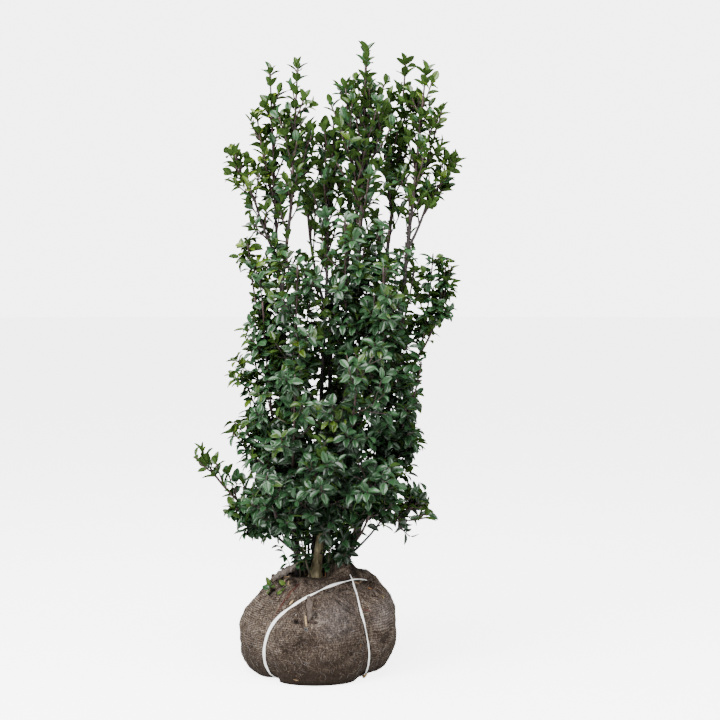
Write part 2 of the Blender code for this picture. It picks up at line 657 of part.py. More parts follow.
def main():
    for old in list(bpy.data.objects):
        bpy.data.objects.remove(old)
    ball = make_ball()
    graph = bpy.context.evaluated_depsgraph_get()
    skin = BVHTree.FromObject(ball, graph)
    slanting = band_path(SLANTING_PLANE, skin)
    upright = knotted_path(band_path(FRONT_PLANE, skin), band_path(BACK_PLANE, skin))
    make_band("band_slanting", even_steps(slanting), SLANTING_WIDTH, skin)
    make_band("band_upright", even_steps(upright), UPRIGHT_WIDTH, skin, crosses_over=True)
    limbs = make_limbs()
    make_masses(limbs)
    make_sprout(skin)


main()
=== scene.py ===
# The looks of a blue holly hedging shrub on its wrapped root ball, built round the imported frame.
# Metres, +Z up, -Y faces the viewer and +X is the viewer's right. One section for each kind of piece, in the
# order in which the shrub is put together: ball, bands, stems, foliage, sprout, and then the studio.
import math
from collections import namedtuple

import bpy
import numpy as np
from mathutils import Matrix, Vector
from mathutils.bvhtree import BVHTree


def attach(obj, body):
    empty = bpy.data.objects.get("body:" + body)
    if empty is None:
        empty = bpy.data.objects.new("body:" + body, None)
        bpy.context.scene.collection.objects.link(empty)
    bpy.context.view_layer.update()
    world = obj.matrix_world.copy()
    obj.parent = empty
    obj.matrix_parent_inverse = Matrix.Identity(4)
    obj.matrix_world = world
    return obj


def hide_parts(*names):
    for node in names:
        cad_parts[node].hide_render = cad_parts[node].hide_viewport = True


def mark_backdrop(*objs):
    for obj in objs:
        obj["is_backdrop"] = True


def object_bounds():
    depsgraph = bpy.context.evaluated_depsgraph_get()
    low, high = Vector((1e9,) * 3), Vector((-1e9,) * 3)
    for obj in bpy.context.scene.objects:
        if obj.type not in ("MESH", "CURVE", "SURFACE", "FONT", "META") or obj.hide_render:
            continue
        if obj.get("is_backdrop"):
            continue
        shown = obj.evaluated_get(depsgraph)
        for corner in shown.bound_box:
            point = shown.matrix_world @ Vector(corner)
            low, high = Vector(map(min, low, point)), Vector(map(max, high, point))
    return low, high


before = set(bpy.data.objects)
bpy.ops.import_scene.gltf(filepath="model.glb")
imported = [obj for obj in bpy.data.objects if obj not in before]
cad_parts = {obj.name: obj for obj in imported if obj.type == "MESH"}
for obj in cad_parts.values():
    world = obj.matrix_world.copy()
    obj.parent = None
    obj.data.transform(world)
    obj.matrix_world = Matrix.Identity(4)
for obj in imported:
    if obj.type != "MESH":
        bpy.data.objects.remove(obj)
cad_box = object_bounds()

# Root ball: soil and roots wrapped in coarse dark jute, drawn up and gathered round the stems. The cloth is
# one skin from the floor round the stems over the shoulders to the flat underside, pinched by the bands.
BALL_RADIUS, BALL_WAIST = 0.185, 0.100
TOP_RISE, TOP_SQUARENESS, TOP_SQUARENESS_RIGHT = 0.132, 2.3, 0.7
FOOT_DROP, FOOT_SQUARENESS, FOOT_SQUARER_IN_FRONT, FOOT_SQUARER_LEFT, FOOT_PINCH = 0.125, 2.8, 1.1, 0.9, 1.2
FLOOR_RADIUS, FLOOR_LEVEL, FLOOR_EDGE = 0.061, 0.218, 0.018
GATHER_RADIUS, GATHER_WIDTH, GATHER_HEIGHT = 0.090, 0.032, 0.019
GATHER_MORE_LEFT, GATHER_MORE_BEHIND, GATHER_MORE_AT_SIDES = 0.009, 0.0125, 0.006
GATHER_NEARER_LEFT, GATHER_WIDER_LEFT, GATHER_LESS_LEFT = -0.002, 0.032, 0.021
RIM_LEFT, RIM_RADIUS, RIM_WIDTH = 0.012, 0.066, 0.009
KNOT = np.array([0.0785, -0.040, 0.2150])
SLANTING_PLANE = np.array([0.542, -0.832, -0.123]) / np.linalg.norm([0.542, -0.832, -0.123])
BACK_PLANE = np.array([0.985, -0.170, 0.0]) / np.linalg.norm([0.985, -0.170, 0.0])
EYE_PLACE, EYE_TILT, SIGHT_PIXELS, SIGHT_MIDDLE = np.array([0.098, -3.2, 0.87]), math.atan2(0.145, 3.2), 1371.0, 360.0
SLANTING_ROUTE = (
    (269.3, 671.5, 0.70), (266.6, 667.0, 0.90), (265.0, 662.0, 1.00), (264.4, 656.0, 1.00), (264.3, 650.0, 1.02),
    (265.0, 644.5, 1.05), (266.8, 637.5, 1.08), (269.3, 630.5, 1.08), (273.0, 623.8, 1.08), (279.0, 616.8, 1.08),
    (285.0, 611.8, 1.05), (290.3, 608.0, 0.66), (295.0, 604.7, 1.00), (304.0, 599.2, 0.96), (312.0, 595.1, 0.80),
    (319.5, 591.3, 0.30), (326.0, 588.2, 0.82), (334.0, 585.0, 1.02), (339.5, 583.3, 0.70), (344.0, 582.1, 0.32),
    (349.0, 581.0, 0.32), (355.0, 580.0, 0.56), (361.0, 579.6, 0.60), (367.0, 580.0, 0.42), (372.5, 582.2, 0.40),
)
UPRIGHT_ROUTE = (
    (365.8, 672.0, 0.75), (366.8, 669.0, 0.95), (367.8, 665.5, 1.05), (368.6, 661.0, 1.00), (369.0, 656.0, 0.95),
    (368.9, 651.0, 0.90), (368.2, 645.0, 0.78), (367.2, 639.0, 0.62), (366.0, 633.0, 0.50), (365.2, 628.5, 0.36),
    (364.7, 625.5, 0.60), (363.5, 621.0, 0.95), (362.0, 616.0, 1.05), (360.8, 611.0, 0.95), (359.5, 607.0, 0.75),
    (357.5, 597.0, 0.58), (356.2, 592.5, 0.80), (354.5, 588.0, 0.90), (353.0, 584.0, 0.75), (352.0, 580.3, 0.50),
    (350.2, 577.0, 0.45), (349.3, 574.8, 0.30),
)
SLANTING_NOTCH, UPRIGHT_NOTCH = (270.5, 680.0, 1.0), (366.8, 680.0, 1.0)
BAND_PINCH, BAND_PINCH_WIDTH = 0.0110, 0.024
LEFT_FOOT_PINCH, LEFT_FOOT_WIDTH = 0.024, 0.0115
NOTCH_RIGHT, NOTCH_WIDTH = 0.016, 0.012
CLOTH_SIDES, CLOTH_TOP_RINGS, CLOTH_FOOT_RINGS, CLOTH_FLOOR_RINGS = 380, 104, 56, 16
TUCK_AZIMUTH, TUCK_LEVEL = math.atan2(-0.168, -0.022), 0.150
HOLES = (
    (295.5, 621.6, 0.0105, 2.4, 2.6), (315.0, 622.6, 0.0045, 2.6, 1.6), (315.6, 614.5, 0.0035, 1.7, 4.5),
    (279.5, 581.2, 0.0140, 6.0, 2.4), (294.8, 577.5, 0.0130, 3.2, 5.5),
)
ROLL_PLACE, ROLL_RADIUS, ROLL_HEIGHT = (0.057, -0.024), 0.025, 0.032
CREASES = (
    (302.0, 575.0, 306.0, 624.0, 3.0, 0.0055), (305.3, 587.0, 307.2, 622.0, 1.0, 0.0022),
    (300.5, 590.0, 303.0, 617.0, 1.0, 0.0018), (324.0, 590.3, 372.0, 598.5, 1.1, -0.0036),
    (331.0, 588.0, 379.0, 596.0, 1.1, -0.0040), (330.0, 591.0, 375.0, 598.6, 1.2, 0.0020),
    (336.7, 600.1, 362.7, 618.4, 1.2, -0.0026), (332.0, 592.5, 331.5, 604.0, 1.1, 0.0016),
    (336.0, 593.0, 336.6, 605.0, 1.1, 0.0016), (332.0, 602.5, 348.5, 623.5, 1.2, -0.0016),
    (311.0, 623.5, 329.0, 637.0, 1.3, 0.0014), (293.0, 623.5, 277.5, 637.0, 1.3, 0.0016),
    (268.9, 589.6, 252.1, 611.3, 1.4, 0.0020), (300.5, 568.0, 297.5, 579.0, 1.6, 0.0045),
)


def ripple(points, scale, seed, waves=14):
    """Smooth noise from about -1 to 1: the mean of plane sine waves in random directions, with wavelengths
    about the scale given in metres."""
    rng = np.random.default_rng(seed)
    way = rng.normal(size=(waves, 3))
    way /= np.linalg.norm(way, axis=1)[:, None]
    turns = 2 * np.pi / (scale * rng.uniform(0.7, 1.5, waves))
    phase = rng.uniform(0, 2 * np.pi, waves)
    waves_at = np.sin(points @ (way * turns[:, None]).T + phase)
    return waves_at.sum(-1) / math.sqrt(waves) / 1.4


def smooth_step(x):
    x = np.clip(x, 0.0, 1.0)
    return x * x * (3 - 2 * x)


def in_picture(points):
    """Where points show in the photograph, in pixels across and down, and their depth before the camera."""
    from_eye = points - EYE_PLACE
    depth = from_eye[..., 1] * math.cos(EYE_TILT) - from_eye[..., 2] * math.sin(EYE_TILT)
    up = from_eye[..., 1] * math.sin(EYE_TILT) + from_eye[..., 2] * math.cos(EYE_TILT)
    return SIGHT_MIDDLE + SIGHT_PIXELS * from_eye[..., 0] / depth, SIGHT_MIDDLE - SIGHT_PIXELS * up / depth, depth


def from_bands(points):
    """The distance in metres from points to each band: in front to its route, as the camera sees it, and
    behind the knot to its plane."""
    across, down, depth = in_picture(points)
    offsets = []
    for route, plane in (((SLANTING_NOTCH, *SLANTING_ROUTE), SLANTING_PLANE), ((UPRIGHT_NOTCH, *UPRIGHT_ROUTE), BACK_PLANE)):
        gap = np.full(across.shape, np.inf)
        for (x0, y0, _), (x1, y1, _) in zip(route[:-1], route[1:]):
            run_x, run_y = x1 - x0, y1 - y0
            share = np.clip(((across - x0) * run_x + (down - y0) * run_y) / (run_x**2 + run_y**2), 0, 1)
            gap = np.minimum(gap, np.hypot(across - x0 - share * run_x, down - y0 - share * run_y))
        offsets.append(np.where(points[..., 1] < KNOT[1], gap * depth / SIGHT_PIXELS, ((points - KNOT) * plane).sum(-1)))
    return offsets


def ball_skin(share, azimuth):
    """The bare form of the ball: in section a superellipse, share running from 1 at the floor of cloth by 0
    at the waist to -1 at the foot, with the gathered collar added as a bell round its radius, a slow wave
    round the waist, and both band planes pressed in as bells."""
    top = np.maximum(share, 0.0)
    squareness = TOP_SQUARENESS + TOP_SQUARENESS_RIGHT * np.cos(azimuth)
    angle = top * np.arccos((FLOOR_RADIUS / BALL_RADIUS) ** (squareness / 2))
    radius_top = BALL_RADIUS * np.cos(angle) ** (2 / squareness)
    level_top = BALL_WAIST + TOP_RISE * np.sin(angle) ** (2 / squareness)
    gather = GATHER_HEIGHT - GATHER_MORE_LEFT * np.cos(azimuth) + GATHER_MORE_BEHIND * np.sin(azimuth)
    left = np.maximum(0.0, -np.cos(azimuth)) ** 1.5
    gather = np.maximum(0.0, gather + GATHER_MORE_AT_SIDES * np.cos(2 * azimuth) - GATHER_LESS_LEFT * left)
    from_ridge = (radius_top - GATHER_RADIUS + GATHER_NEARER_LEFT * left) / (GATHER_WIDTH + GATHER_WIDER_LEFT * left)
    level_top = level_top + gather * np.exp(-(from_ridge**2))
    level_top = level_top + RIM_LEFT * left**3 * np.exp(-(((radius_top - RIM_RADIUS) / RIM_WIDTH) ** 2))
    blend = smooth_step((radius_top - FLOOR_RADIUS) / FLOOR_EDGE)
    level_top = FLOOR_LEVEL + (level_top - FLOOR_LEVEL) * blend
    foot = np.maximum(-share, 0.0)
    squareness = FOOT_SQUARENESS + FOOT_SQUARER_IN_FRONT * np.maximum(0.0, -np.sin(azimuth)) ** 3
    squareness = squareness + FOOT_SQUARER_LEFT * np.maximum(0.0, -np.cos(azimuth)) ** 3
    angle = foot * np.arcsin((BALL_WAIST / FOOT_DROP) ** (squareness / 2))
    radius_foot = BALL_RADIUS * np.cos(angle) ** (2 / squareness)
    level_foot = BALL_WAIST - FOOT_DROP * np.sin(angle) ** (2 / squareness)
    radius = np.where(share >= 0, radius_top, radius_foot)
    level = np.where(share >= 0, level_top, level_foot)
    blend = np.where(share >= 0, blend, 1.0)
    wave = 0.010 * np.sin(3 * azimuth + 0.9) + 0.008 * np.sin(5 * azimuth - 11 * level)
    radius = radius * (1 + blend * wave)
    points = np.stack([radius * np.cos(azimuth), radius * np.sin(azimuth), np.maximum(0.0, level)], -1)
    for band, offset in enumerate(from_bands(points)):
        pinch = BAND_PINCH * np.exp(-((offset / BAND_PINCH_WIDTH) ** 2)) * (1 + FOOT_PINCH * band * foot**1.5)
        if band == 0:
            pinch = pinch + LEFT_FOOT_PINCH * foot**2 * np.exp(-((offset / LEFT_FOOT_WIDTH) ** 2))
            right = np.exp(-((np.arctan2(points[..., 1], points[..., 0]) / 0.5) ** 2))
            pinch = pinch + NOTCH_RIGHT * right * np.exp(-((offset / NOTCH_WIDTH) ** 2))
        pinch = blend * pinch
        points[..., :2] *= (1 - pinch / BALL_RADIUS)[..., None]
        points[..., 2] -= pinch * np.maximum(0.0, level - BALL_WAIST) / TOP_RISE
    return points


def grid_normals(points):
    """Unit normals of a grid that closes round its second axis, from the cross product of its two ways."""
    down = np.gradient(points, axis=0)
    around = np.roll(points, -1, axis=1) - np.roll(points, 1, axis=1)
    normals = np.cross(down, around)
    return normals / np.maximum(np.linalg.norm(normals, axis=-1, keepdims=True), 1e-12)


def wrapped_cloth(share, azimuth):
    """The cloth on the ball: its form plus lumps of soil, long folds that run from the collar down the
    shoulders and fade at the waist, and short crumples, all along the normal."""
    points = ball_skin(share, azimuth)
    normals = grid_normals(points)
    away = smooth_step((np.hypot(points[..., 0], points[..., 1]) - 0.060) / 0.030)
    above = smooth_step(points[..., 2] / 0.020)
    warp = 0.55 * np.sin(2 * azimuth + 0.7) + 6.0 * (points[..., 2] - 0.2) * np.sin(3 * azimuth)
    fade = np.exp(-(((share - 0.95) / 0.42) ** 2))
    folds = 0.0
    for turns, phase, height in ((9, 0.4, 0.0030), (17, 2.1, 0.0024), (31, 4.4, 0.0015), (53, 1.3, 0.0008)):
        ridge = 1 - 2 * np.abs(np.sin((turns * (azimuth + 0.12 * warp) + phase) / 2))
        folds = folds + height * ridge * (0.6 + 0.4 * np.sin(3 * azimuth + turns))
    left = np.maximum(0.0, -np.cos(azimuth + 0.35)) ** 1.5
    folds = folds * (1 + 0.9 * left) + 0.0070 * left * ripple(points, 0.018, 12)
    lumps = 0.0034 * ripple(points, 0.100, 5) + 0.0016 * ripple(points, 0.038, 6)
    crumples = 0.0008 * ripple(points, 0.014, 7) + 0.0004 * ripple(points, 0.007, 8)
    across = (azimuth - TUCK_AZIMUTH + np.pi) % (2 * np.pi) - np.pi
    from_tuck = np.hypot(across * 0.155, points[..., 2] - TUCK_LEVEL)
    bearing = np.arctan2(points[..., 2] - TUCK_LEVEL, across * 0.155)
    rays = np.sin(4 * bearing + 1.6 * np.sin(bearing + 0.7) + 0.9 * np.sin(3 * bearing))
    tuck = 0.0011 * rays * np.exp(-from_tuck / 0.042) * smooth_step(from_tuck / 0.012)
    tuck = tuck - 0.0050 * np.exp(-((from_tuck / 0.012) ** 2))
    in_front = points[..., 1] < 0.03
    picture = np.stack(in_picture(points)[:2], -1)
    for x, y, depth, half_width, half_height in HOLES:
        near = ((picture[..., 0] - x) / half_width) ** 2 + ((picture[..., 1] - y) / half_height) ** 2
        tuck = tuck - in_front * depth * np.exp(-near)
    for x0, y0, x1, y1, width, rise in CREASES:
        run = np.array([x1 - x0, y1 - y0])
        offset = picture - (x0, y0)
        share_along = (offset @ run) / (run @ run)
        beside = np.abs(offset[..., 0] * run[1] - offset[..., 1] * run[0]) / np.linalg.norm(run)
        bow = width * 1.5 * np.sin(np.pi * np.clip(share_along, 0, 1))
        ends = smooth_step((share_along + 0.12) / 0.2) * smooth_step((1.12 - share_along) / 0.2)
        tuck = tuck + in_front * rise * ends * np.exp(-(((beside - bow * (width < 1.5)) / width) ** 2))
    creases = 0.0016 * ripple(points * (1.0, 1.0, 2.2), 0.024, 11) * fade
    taut = 0.0
    for offset in from_bands(points):
        taut = taut + np.exp(-((offset / 0.012) ** 2))
    calm = 1 - 0.8 * np.clip(taut, 0, 1)
    height = calm * (folds * fade + lumps + crumples + creases) + (0.4 + 0.6 * calm) * tuck
    return points + normals * (away * above * height)[..., None]


def with_roll(points):
    """The points with a lump of cloth raised on the floor of the gather, beside the trunk."""
    from_roll = np.hypot(points[..., 0] - ROLL_PLACE[0], points[..., 1] - ROLL_PLACE[1]) / ROLL_RADIUS
    lift = ROLL_HEIGHT * np.exp(-(from_roll**4)) * (points[..., 2] > BALL_WAIST)
    return points + np.stack([0 * lift, 0 * lift, lift * (1 + 0.12 * ripple(points, 0.012, 31))], -1)


def mesh_piece(name, points, faces, uvs=None, indices=None, smooth_angle=None):
    """An object from whole arrays: points (n, 3), faces as rows of triangles or quads, corner coordinates
    for its UV map, and the material slot of each face."""
    mesh = bpy.data.meshes.new(name)
    faces = [np.asarray(f, np.int32) for f in (faces if isinstance(faces, (list, tuple)) else [faces])]
    corners = np.concatenate([f.ravel() for f in faces])
    sizes = np.concatenate([np.full(len(f), f.shape[1], np.int32) for f in faces])
    mesh.vertices.add(len(points))
    mesh.vertices.foreach_set("co", np.asarray(points, np.float32).ravel())
    mesh.loops.add(len(corners))
    mesh.loops.foreach_set("vertex_index", corners)
    mesh.polygons.add(len(sizes))
    mesh.polygons.foreach_set("loop_start", np.concatenate([[0], np.cumsum(sizes)[:-1]]).astype(np.int32))
    mesh.polygons.foreach_set("loop_total", sizes)
    if uvs is not None:
        mesh.uv_layers.new(name="surface").data.foreach_set("uv", np.asarray(uvs, np.float32).ravel())
    if indices is not None:
        mesh.polygons.foreach_set("material_index", np.asarray(indices, np.int32))
    mesh.update(calc_edges=True)
    mesh.shade_smooth()
    if smooth_angle is not None:
        mesh.set_sharp_from_angle(angle=math.radians(smooth_angle))
    made = bpy.data.objects.new(name, mesh)
    bpy.context.scene.collection.objects.link(made)
    return made


def ring_faces(rings, sides):
    """Quads between neighbouring rings of a grid that closes round its second axis, facing outwards where
    the rings run down and the sides run anticlockwise."""
    i, k = np.meshgrid(np.arange(rings - 1), np.arange(sides), indexing="ij")
    a, b = i * sides + k, i * sides + (k + 1) % sides
    return np.stack([a, a + sides, b + sides, b], -1).reshape(-1, 4)


class Wire:
    """One output socket in a material. Arithmetic on it adds Math nodes."""

    def __init__(self, paint, socket):
        self.paint, self.socket = paint, socket

    def maths(self, operation, *others):
        return self.paint.add("ShaderNodeMath", {"operation": operation}, dict(enumerate((self, *others))))

    def __add__(self, other):
        return self.maths("ADD", other)

    def __mul__(self, other):
        return self.maths("MULTIPLY", other)

    def __sub__(self, other):
        return self.maths("SUBTRACT", other)

    def __rsub__(self, other):
        return self.paint.add("ShaderNodeMath", {"operation": "SUBTRACT"}, {0: other, 1: self})

    def __truediv__(self, other):
        return self.maths("DIVIDE", other)

    def __pow__(self, other):
        return self.maths("POWER", other)

    __radd__, __rmul__ = __add__, __mul__

    def sine(self):
        return self.maths("SINE")

    def size(self):
        return self.maths("ABSOLUTE")

    def clamp(self):
        return self.maths("MINIMUM", 1.0).maths("MAXIMUM", 0.0)

    def out(self, name):
        return Wire(self.paint, self.socket.node.outputs[name])


class Paint:
    """A material whose nodes all come from one method."""

    def __init__(self, name):
        self.material = bpy.data.materials.new(name)
        self.material.use_nodes = True
        self.nodes, self.links = self.material.node_tree.nodes, self.material.node_tree.links
        self.nodes.clear()

    def add(self, kind, settings, inputs):
        """A node of that type, its settings first, then each socket's value or link. A ramp's stops are
        (place, colour) pairs."""
        node = self.nodes.new(kind)
        for key, value in settings.items():
            if key == "stops":
                stops = node.color_ramp.elements
                while len(stops) < len(value):
                    stops.new(1.0)
                for stop, (place, colour) in zip(stops, value):
                    stop.position, stop.color = place, (*colour, 1.0)
            else:
                setattr(node, key, value)
        for key, value in inputs.items():
            socket = node.inputs[key]
            if isinstance(value, Wire):
                self.links.new(value.socket, socket)
            elif isinstance(value, tuple) and len(value) == 3 and socket.type == "RGBA":
                socket.default_value = (*value, 1.0)
            else:
                socket.default_value = value
        return Wire(self, next(s for s in node.outputs if s.enabled)) if node.outputs else None

    def place(self, kind="Object"):
        return self.add("ShaderNodeTexCoord", {}, {}).out(kind)

    def noise(self, where, scale, detail=3.0, rough=0.55):
        inputs = {"Vector": where, "Scale": scale, "Detail": detail, "Roughness": rough}
        return self.add("ShaderNodeTexNoise", {}, inputs)

    def stretch(self, where, scale):
        return self.add("ShaderNodeMapping", {}, {"Vector": where, "Scale": scale})

    def blend(self, share, a, b):
        """Colour a where the share is 0, and colour b where it is 1."""
        return self.add("ShaderNodeMix", {"data_type": "RGBA"}, {0: share, 6: a, 7: b}).out(2)

    def ramp(self, share, *stops):
        return self.add("ShaderNodeValToRGB", {"stops": stops}, {"Fac": share})

    def finish(self, colour, roughness, height=None, relief=0.001, **numbers):
        """The Principled shader, with a Bump node where a height is given, in metres of relief."""
        inputs = {"Base Color": colour, "Roughness": roughness}
        inputs.update({key.replace("_", " "): value for key, value in numbers.items()})
        if height is not None:
            bump = {"Height": height, "Distance": relief, "Strength": 1.0}
            inputs["Normal"] = self.add("ShaderNodeBump", {}, bump)
        shader = self.add("ShaderNodeBsdfPrincipled", {}, inputs)
        self.add("ShaderNodeOutputMaterial", {}, {"Surface": shader})
        return self.material


HOLLOW_BLURS, HOLLOW_DEPTH = 9, 0.0016
JUTE_GAP, JUTE_DARK, JUTE_PALE, JUTE_DUST = (
    (0.012, 0.008, 0.006), (0.046, 0.033, 0.025), (0.128, 0.098, 0.076), (0.340, 0.285, 0.235)
)
JUTE_DAMP_AND_SHADE, JUTE_RUBBED_AND_LIT = (0.018, 0.012, 0.008), (0.190, 0.172, 0.178)


def jute_cloth():
    """Coarse dark jute: courses of thread, a tangle of thin wavy fibres over them, dust, patches of soil, a
    paler and greyer stretch in front, partly worn cloth and partly a painted pool of light, painted shade in
    its dips and creases, and a foot darker towards the floor, partly wet soil and partly painted shade."""
    paint = Paint("dark_jute")
    cloth, solid = paint.place("UV"), paint.place()

    def streaks(turn, width, length, detail=2.0):
        """A noise stretched one way."""
        inputs = {"Vector": cloth, "Rotation": (0.0, 0.0, turn), "Scale": (width, length, 1.0)}
        return paint.noise(paint.add("ShaderNodeMapping", {"vector_type": "TEXTURE"}, inputs), 1.0, detail) - 0.5

    def strands(turn, width, length, sharpness):
        """Thin wavy lines, where a noise stretched one way passes its middle."""
        return (1.0 - streaks(turn, width, length, 1.0).size() * sharpness).clamp()

    fibres = strands(0.20, 0.0065, 0.024, 11.0) * 0.24 + strands(-0.55, 0.0070, 0.020, 12.0) * 0.20
    fibres = fibres + streaks(0.12, 0.0018, 0.0034) * 0.64 + streaks(-0.80, 0.0018, 0.0032) * 0.64
    place = paint.add("ShaderNodeSeparateXYZ", {}, {"Vector": solid})
    across, back, level = place.out("X"), place.out("Y"), place.out("Z")
    wander = (paint.noise(solid, 30.0, 2.0) - 0.5) * 10.0
    run = paint.add("ShaderNodeSeparateXYZ", {}, {"Vector": cloth}).out("Y")
    courses = (run * (2 * math.pi / 0.0048) + wander).sine() * 0.5 + 0.5
    specks = (paint.noise(solid, 430.0, 2.0) - 0.5) * 1.3
    patches = (paint.noise(solid, 12.0, 2.0) - 0.5) * 0.45
    # Painted shade: a mask from the mesh of how far the cloth lies sunk below its surroundings, darker where it is
    # sunk.
    hollow = paint.add("ShaderNodeAttribute", {"attribute_name": "hollow"}, {}).out("Fac")
    sides = ((across - 0.02).size() * 9.0 - 0.45).clamp()
    tone = (fibres + courses * (sides * 0.24 + 0.13) + specks + patches - hollow * 0.16 + 0.11).clamp()
    stops = ((0.0, JUTE_GAP), (0.34, JUTE_DARK), (0.68, JUTE_PALE), (1.0, JUTE_DUST))
    colour = paint.ramp(tone, *stops)
    # Painted shade and wet soil: the cloth darkens towards the floor, partly as soil and partly as shade near the
    # ground.
    damp_and_shade = ((1.10 - level / 0.120) * 0.85 + patches * 0.5).clamp()
    colour = paint.blend(damp_and_shade, colour, JUTE_DAMP_AND_SHADE)
    # Painted light and wear: paler, greyer patches on the front of the ball, partly worn cloth and partly a painted
    # pool of light.
    for x, z, reach in ((0.045, 0.150, 0.060), (0.157, 0.150, 0.045)):
        rubbed_and_lit = 1.0 - ((across - x) / reach) ** 2.0 - ((level - z) / (reach * 0.9)) ** 2.0
        rubbed_and_lit = (rubbed_and_lit * (back * -40.0).clamp() * 0.30).clamp() * (tone * 0.8 + 0.30)
        colour = paint.blend(rubbed_and_lit.clamp(), colour, JUTE_RUBBED_AND_LIT)
    # Painted shade: the most sunken places of the cloth darken further, to the colour of the gaps between threads.
    colour = paint.blend((hollow * 0.5 - 0.35).clamp() * 0.85, colour, JUTE_GAP)
    return paint.finish(colour, 0.95, tone + courses * 0.25, 0.0016, Specular_IOR_Level=0.12)


cloth_shares = np.concatenate([np.linspace(1, 0, CLOTH_TOP_RINGS, endpoint=False), np.linspace(0, -1, CLOTH_FOOT_RINGS)])
azimuths = 2 * np.pi * np.arange(CLOTH_SIDES) / CLOTH_SIDES
share_grid, azimuth_grid = np.meshgrid(cloth_shares, azimuths, indexing="ij")
skin = with_roll(wrapped_cloth(share_grid, azimuth_grid))
bare_skin = ball_skin(share_grid, azimuth_grid)
relief = ((skin - bare_skin) * grid_normals(bare_skin)).sum(-1)
inner = np.linspace(0, 1, CLOTH_FLOOR_RINGS, endpoint=False)[1:, None, None]
centre = np.array([0.0, 0.0, FLOOR_LEVEL])
floor_rings = centre + (skin[:1] - centre) * inner
floor_rings[..., 2] += 0.0016 * ripple(floor_rings, 0.020, 9) * np.sin(np.pi * inner[..., 0])
skin = np.concatenate([with_roll(floor_rings), skin])
rings = len(skin)
cloth_points = np.concatenate([skin.reshape(-1, 3), [centre, [0.0, 0.0, 0.0]]])
sides = np.arange(CLOTH_SIDES)
after = (sides + 1) % CLOTH_SIDES
last_ring = (rings - 1) * CLOTH_SIDES
cap_top = np.stack([np.full(CLOTH_SIDES, rings * CLOTH_SIDES), sides, after], -1)
cap_foot = np.stack([np.full(CLOTH_SIDES, rings * CLOTH_SIDES + 1), last_ring + after, last_ring + sides], -1)
cloth_faces = [ring_faces(rings, CLOTH_SIDES), cap_top, cap_foot]
step = np.linalg.norm(np.diff(skin, axis=0), axis=-1).mean(1)
run = np.concatenate([[0.0], np.cumsum(step)])
seam_uv = np.stack(np.broadcast_arrays(np.arange(CLOTH_SIDES + 1)[None, :] / CLOTH_SIDES * 1.16, run[:, None]), -1)
i, k = np.meshgrid(np.arange(rings - 1), sides, indexing="ij")
quad_uv = np.stack([seam_uv[i, k], seam_uv[i + 1, k], seam_uv[i + 1, k + 1], seam_uv[i, k + 1]], 2).reshape(-1, 2)
cap_uv = np.concatenate([cloth_points[c.ravel(), :2] for c in (cap_top, cap_foot)])
ball = mesh_piece("jute_wrap", cloth_points, cloth_faces, np.concatenate([quad_uv, cap_uv]))
# How far the cloth lies below its own blurred relief: a per-point mask by which the jute material paints shade into its
# dips and creases.
smooth = relief
for _ in range(HOLLOW_BLURS):
    smooth = (np.roll(smooth, 1, 1) + smooth + np.roll(smooth, -1, 1)) / 3
    edged = np.concatenate([smooth[:1], smooth[:1], smooth, smooth[-1:], smooth[-1:]])
    smooth = (edged[:-4] + edged[1:-3] + edged[2:-2] + edged[3:-1] + edged[4:]) / 5
hollow = np.zeros(len(cloth_points))
hollow[(CLOTH_FLOOR_RINGS - 1) * CLOTH_SIDES : -2] = np.clip((smooth - relief) / HOLLOW_DEPTH, -0.5, 4).ravel()
ball.data.attributes.new("hollow", "FLOAT", "POINT").data.foreach_set("value", hollow.astype(np.float32))
ball.data.materials.append(jute_cloth())
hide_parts("root_ball")
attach(ball, "root")

# Bands: two flat strips of white woven plastic tape, drawn tight round the ball and knotted near its right
# shoulder. Each lies on the cloth and ends under the ball, and the upright one turns over once behind it.
# Their routes in front are in pixels of the photograph, across and down from its upper left corner.
UPRIGHT_OVER = ((0.062, 0.030), (0.073, 0.056), (0.084, 0.082), (0.094, 0.106))
SLANTING_WIDTH, UPRIGHT_WIDTH = 0.0072, 0.0048
TAPE_THICKNESS, TAPE_LIFT, TAPE_FOOT = 0.0012, 0.0014, 0.002
TAPE_SECTIONS, TAPE_ACROSS = 260, 7


def tape_material():
    """White plastic raffia tape: lengthwise fibres, a little soiled."""
    paint = Paint("white_tape")
    where = paint.place("UV")
    fibres = paint.noise(paint.stretch(where, (14.0, 9.0, 1.0)), 9.0, 3.0)
    soil = paint.noise(paint.place(), 26.0, 3.0)
    colour = paint.blend((soil * 2.4 - 1.35).clamp(), (0.96, 0.955, 0.94), (0.66, 0.62, 0.56))
    return paint.finish(colour, 0.5, fibres, 0.0006)


white_tape = tape_material()


def section_path(normal, skin_tree, samples=240):
    """The taut line in one plane: rays from outside the plane's middle hit the cloth, and the convex outline
    of the hits is kept, from the floor in front over the ball to the floor behind."""
    middle = np.array([0.0, 0.0, BALL_WAIST])
    middle = middle + normal * ((KNOT - middle) @ normal)
    first = np.array([0.0, 0.0, -1.0]) - normal * -normal[2]
    first /= np.linalg.norm(first)
    second = np.cross(normal, first)
    turn = 2 * np.pi * np.arange(samples) / samples
    ways = np.cos(turn)[:, None] * first + np.sin(turn)[:, None] * second
    hits = [skin_tree.ray_cast(Vector(middle + way), Vector(-way))[0] for way in ways]
    solid = np.array([tuple(h) for h in hits])
    flat = np.stack([(solid - middle) @ first, (solid - middle) @ second], -1)
    keep = convex_outline(flat)
    ring = solid[keep]
    ring = np.roll(ring, -int(ring[:, 2].argmin()), axis=0)
    ring = ring[ring[:, 2] > TAPE_FOOT]
    return ring if ring[0, 1] < ring[-1, 1] else ring[::-1]


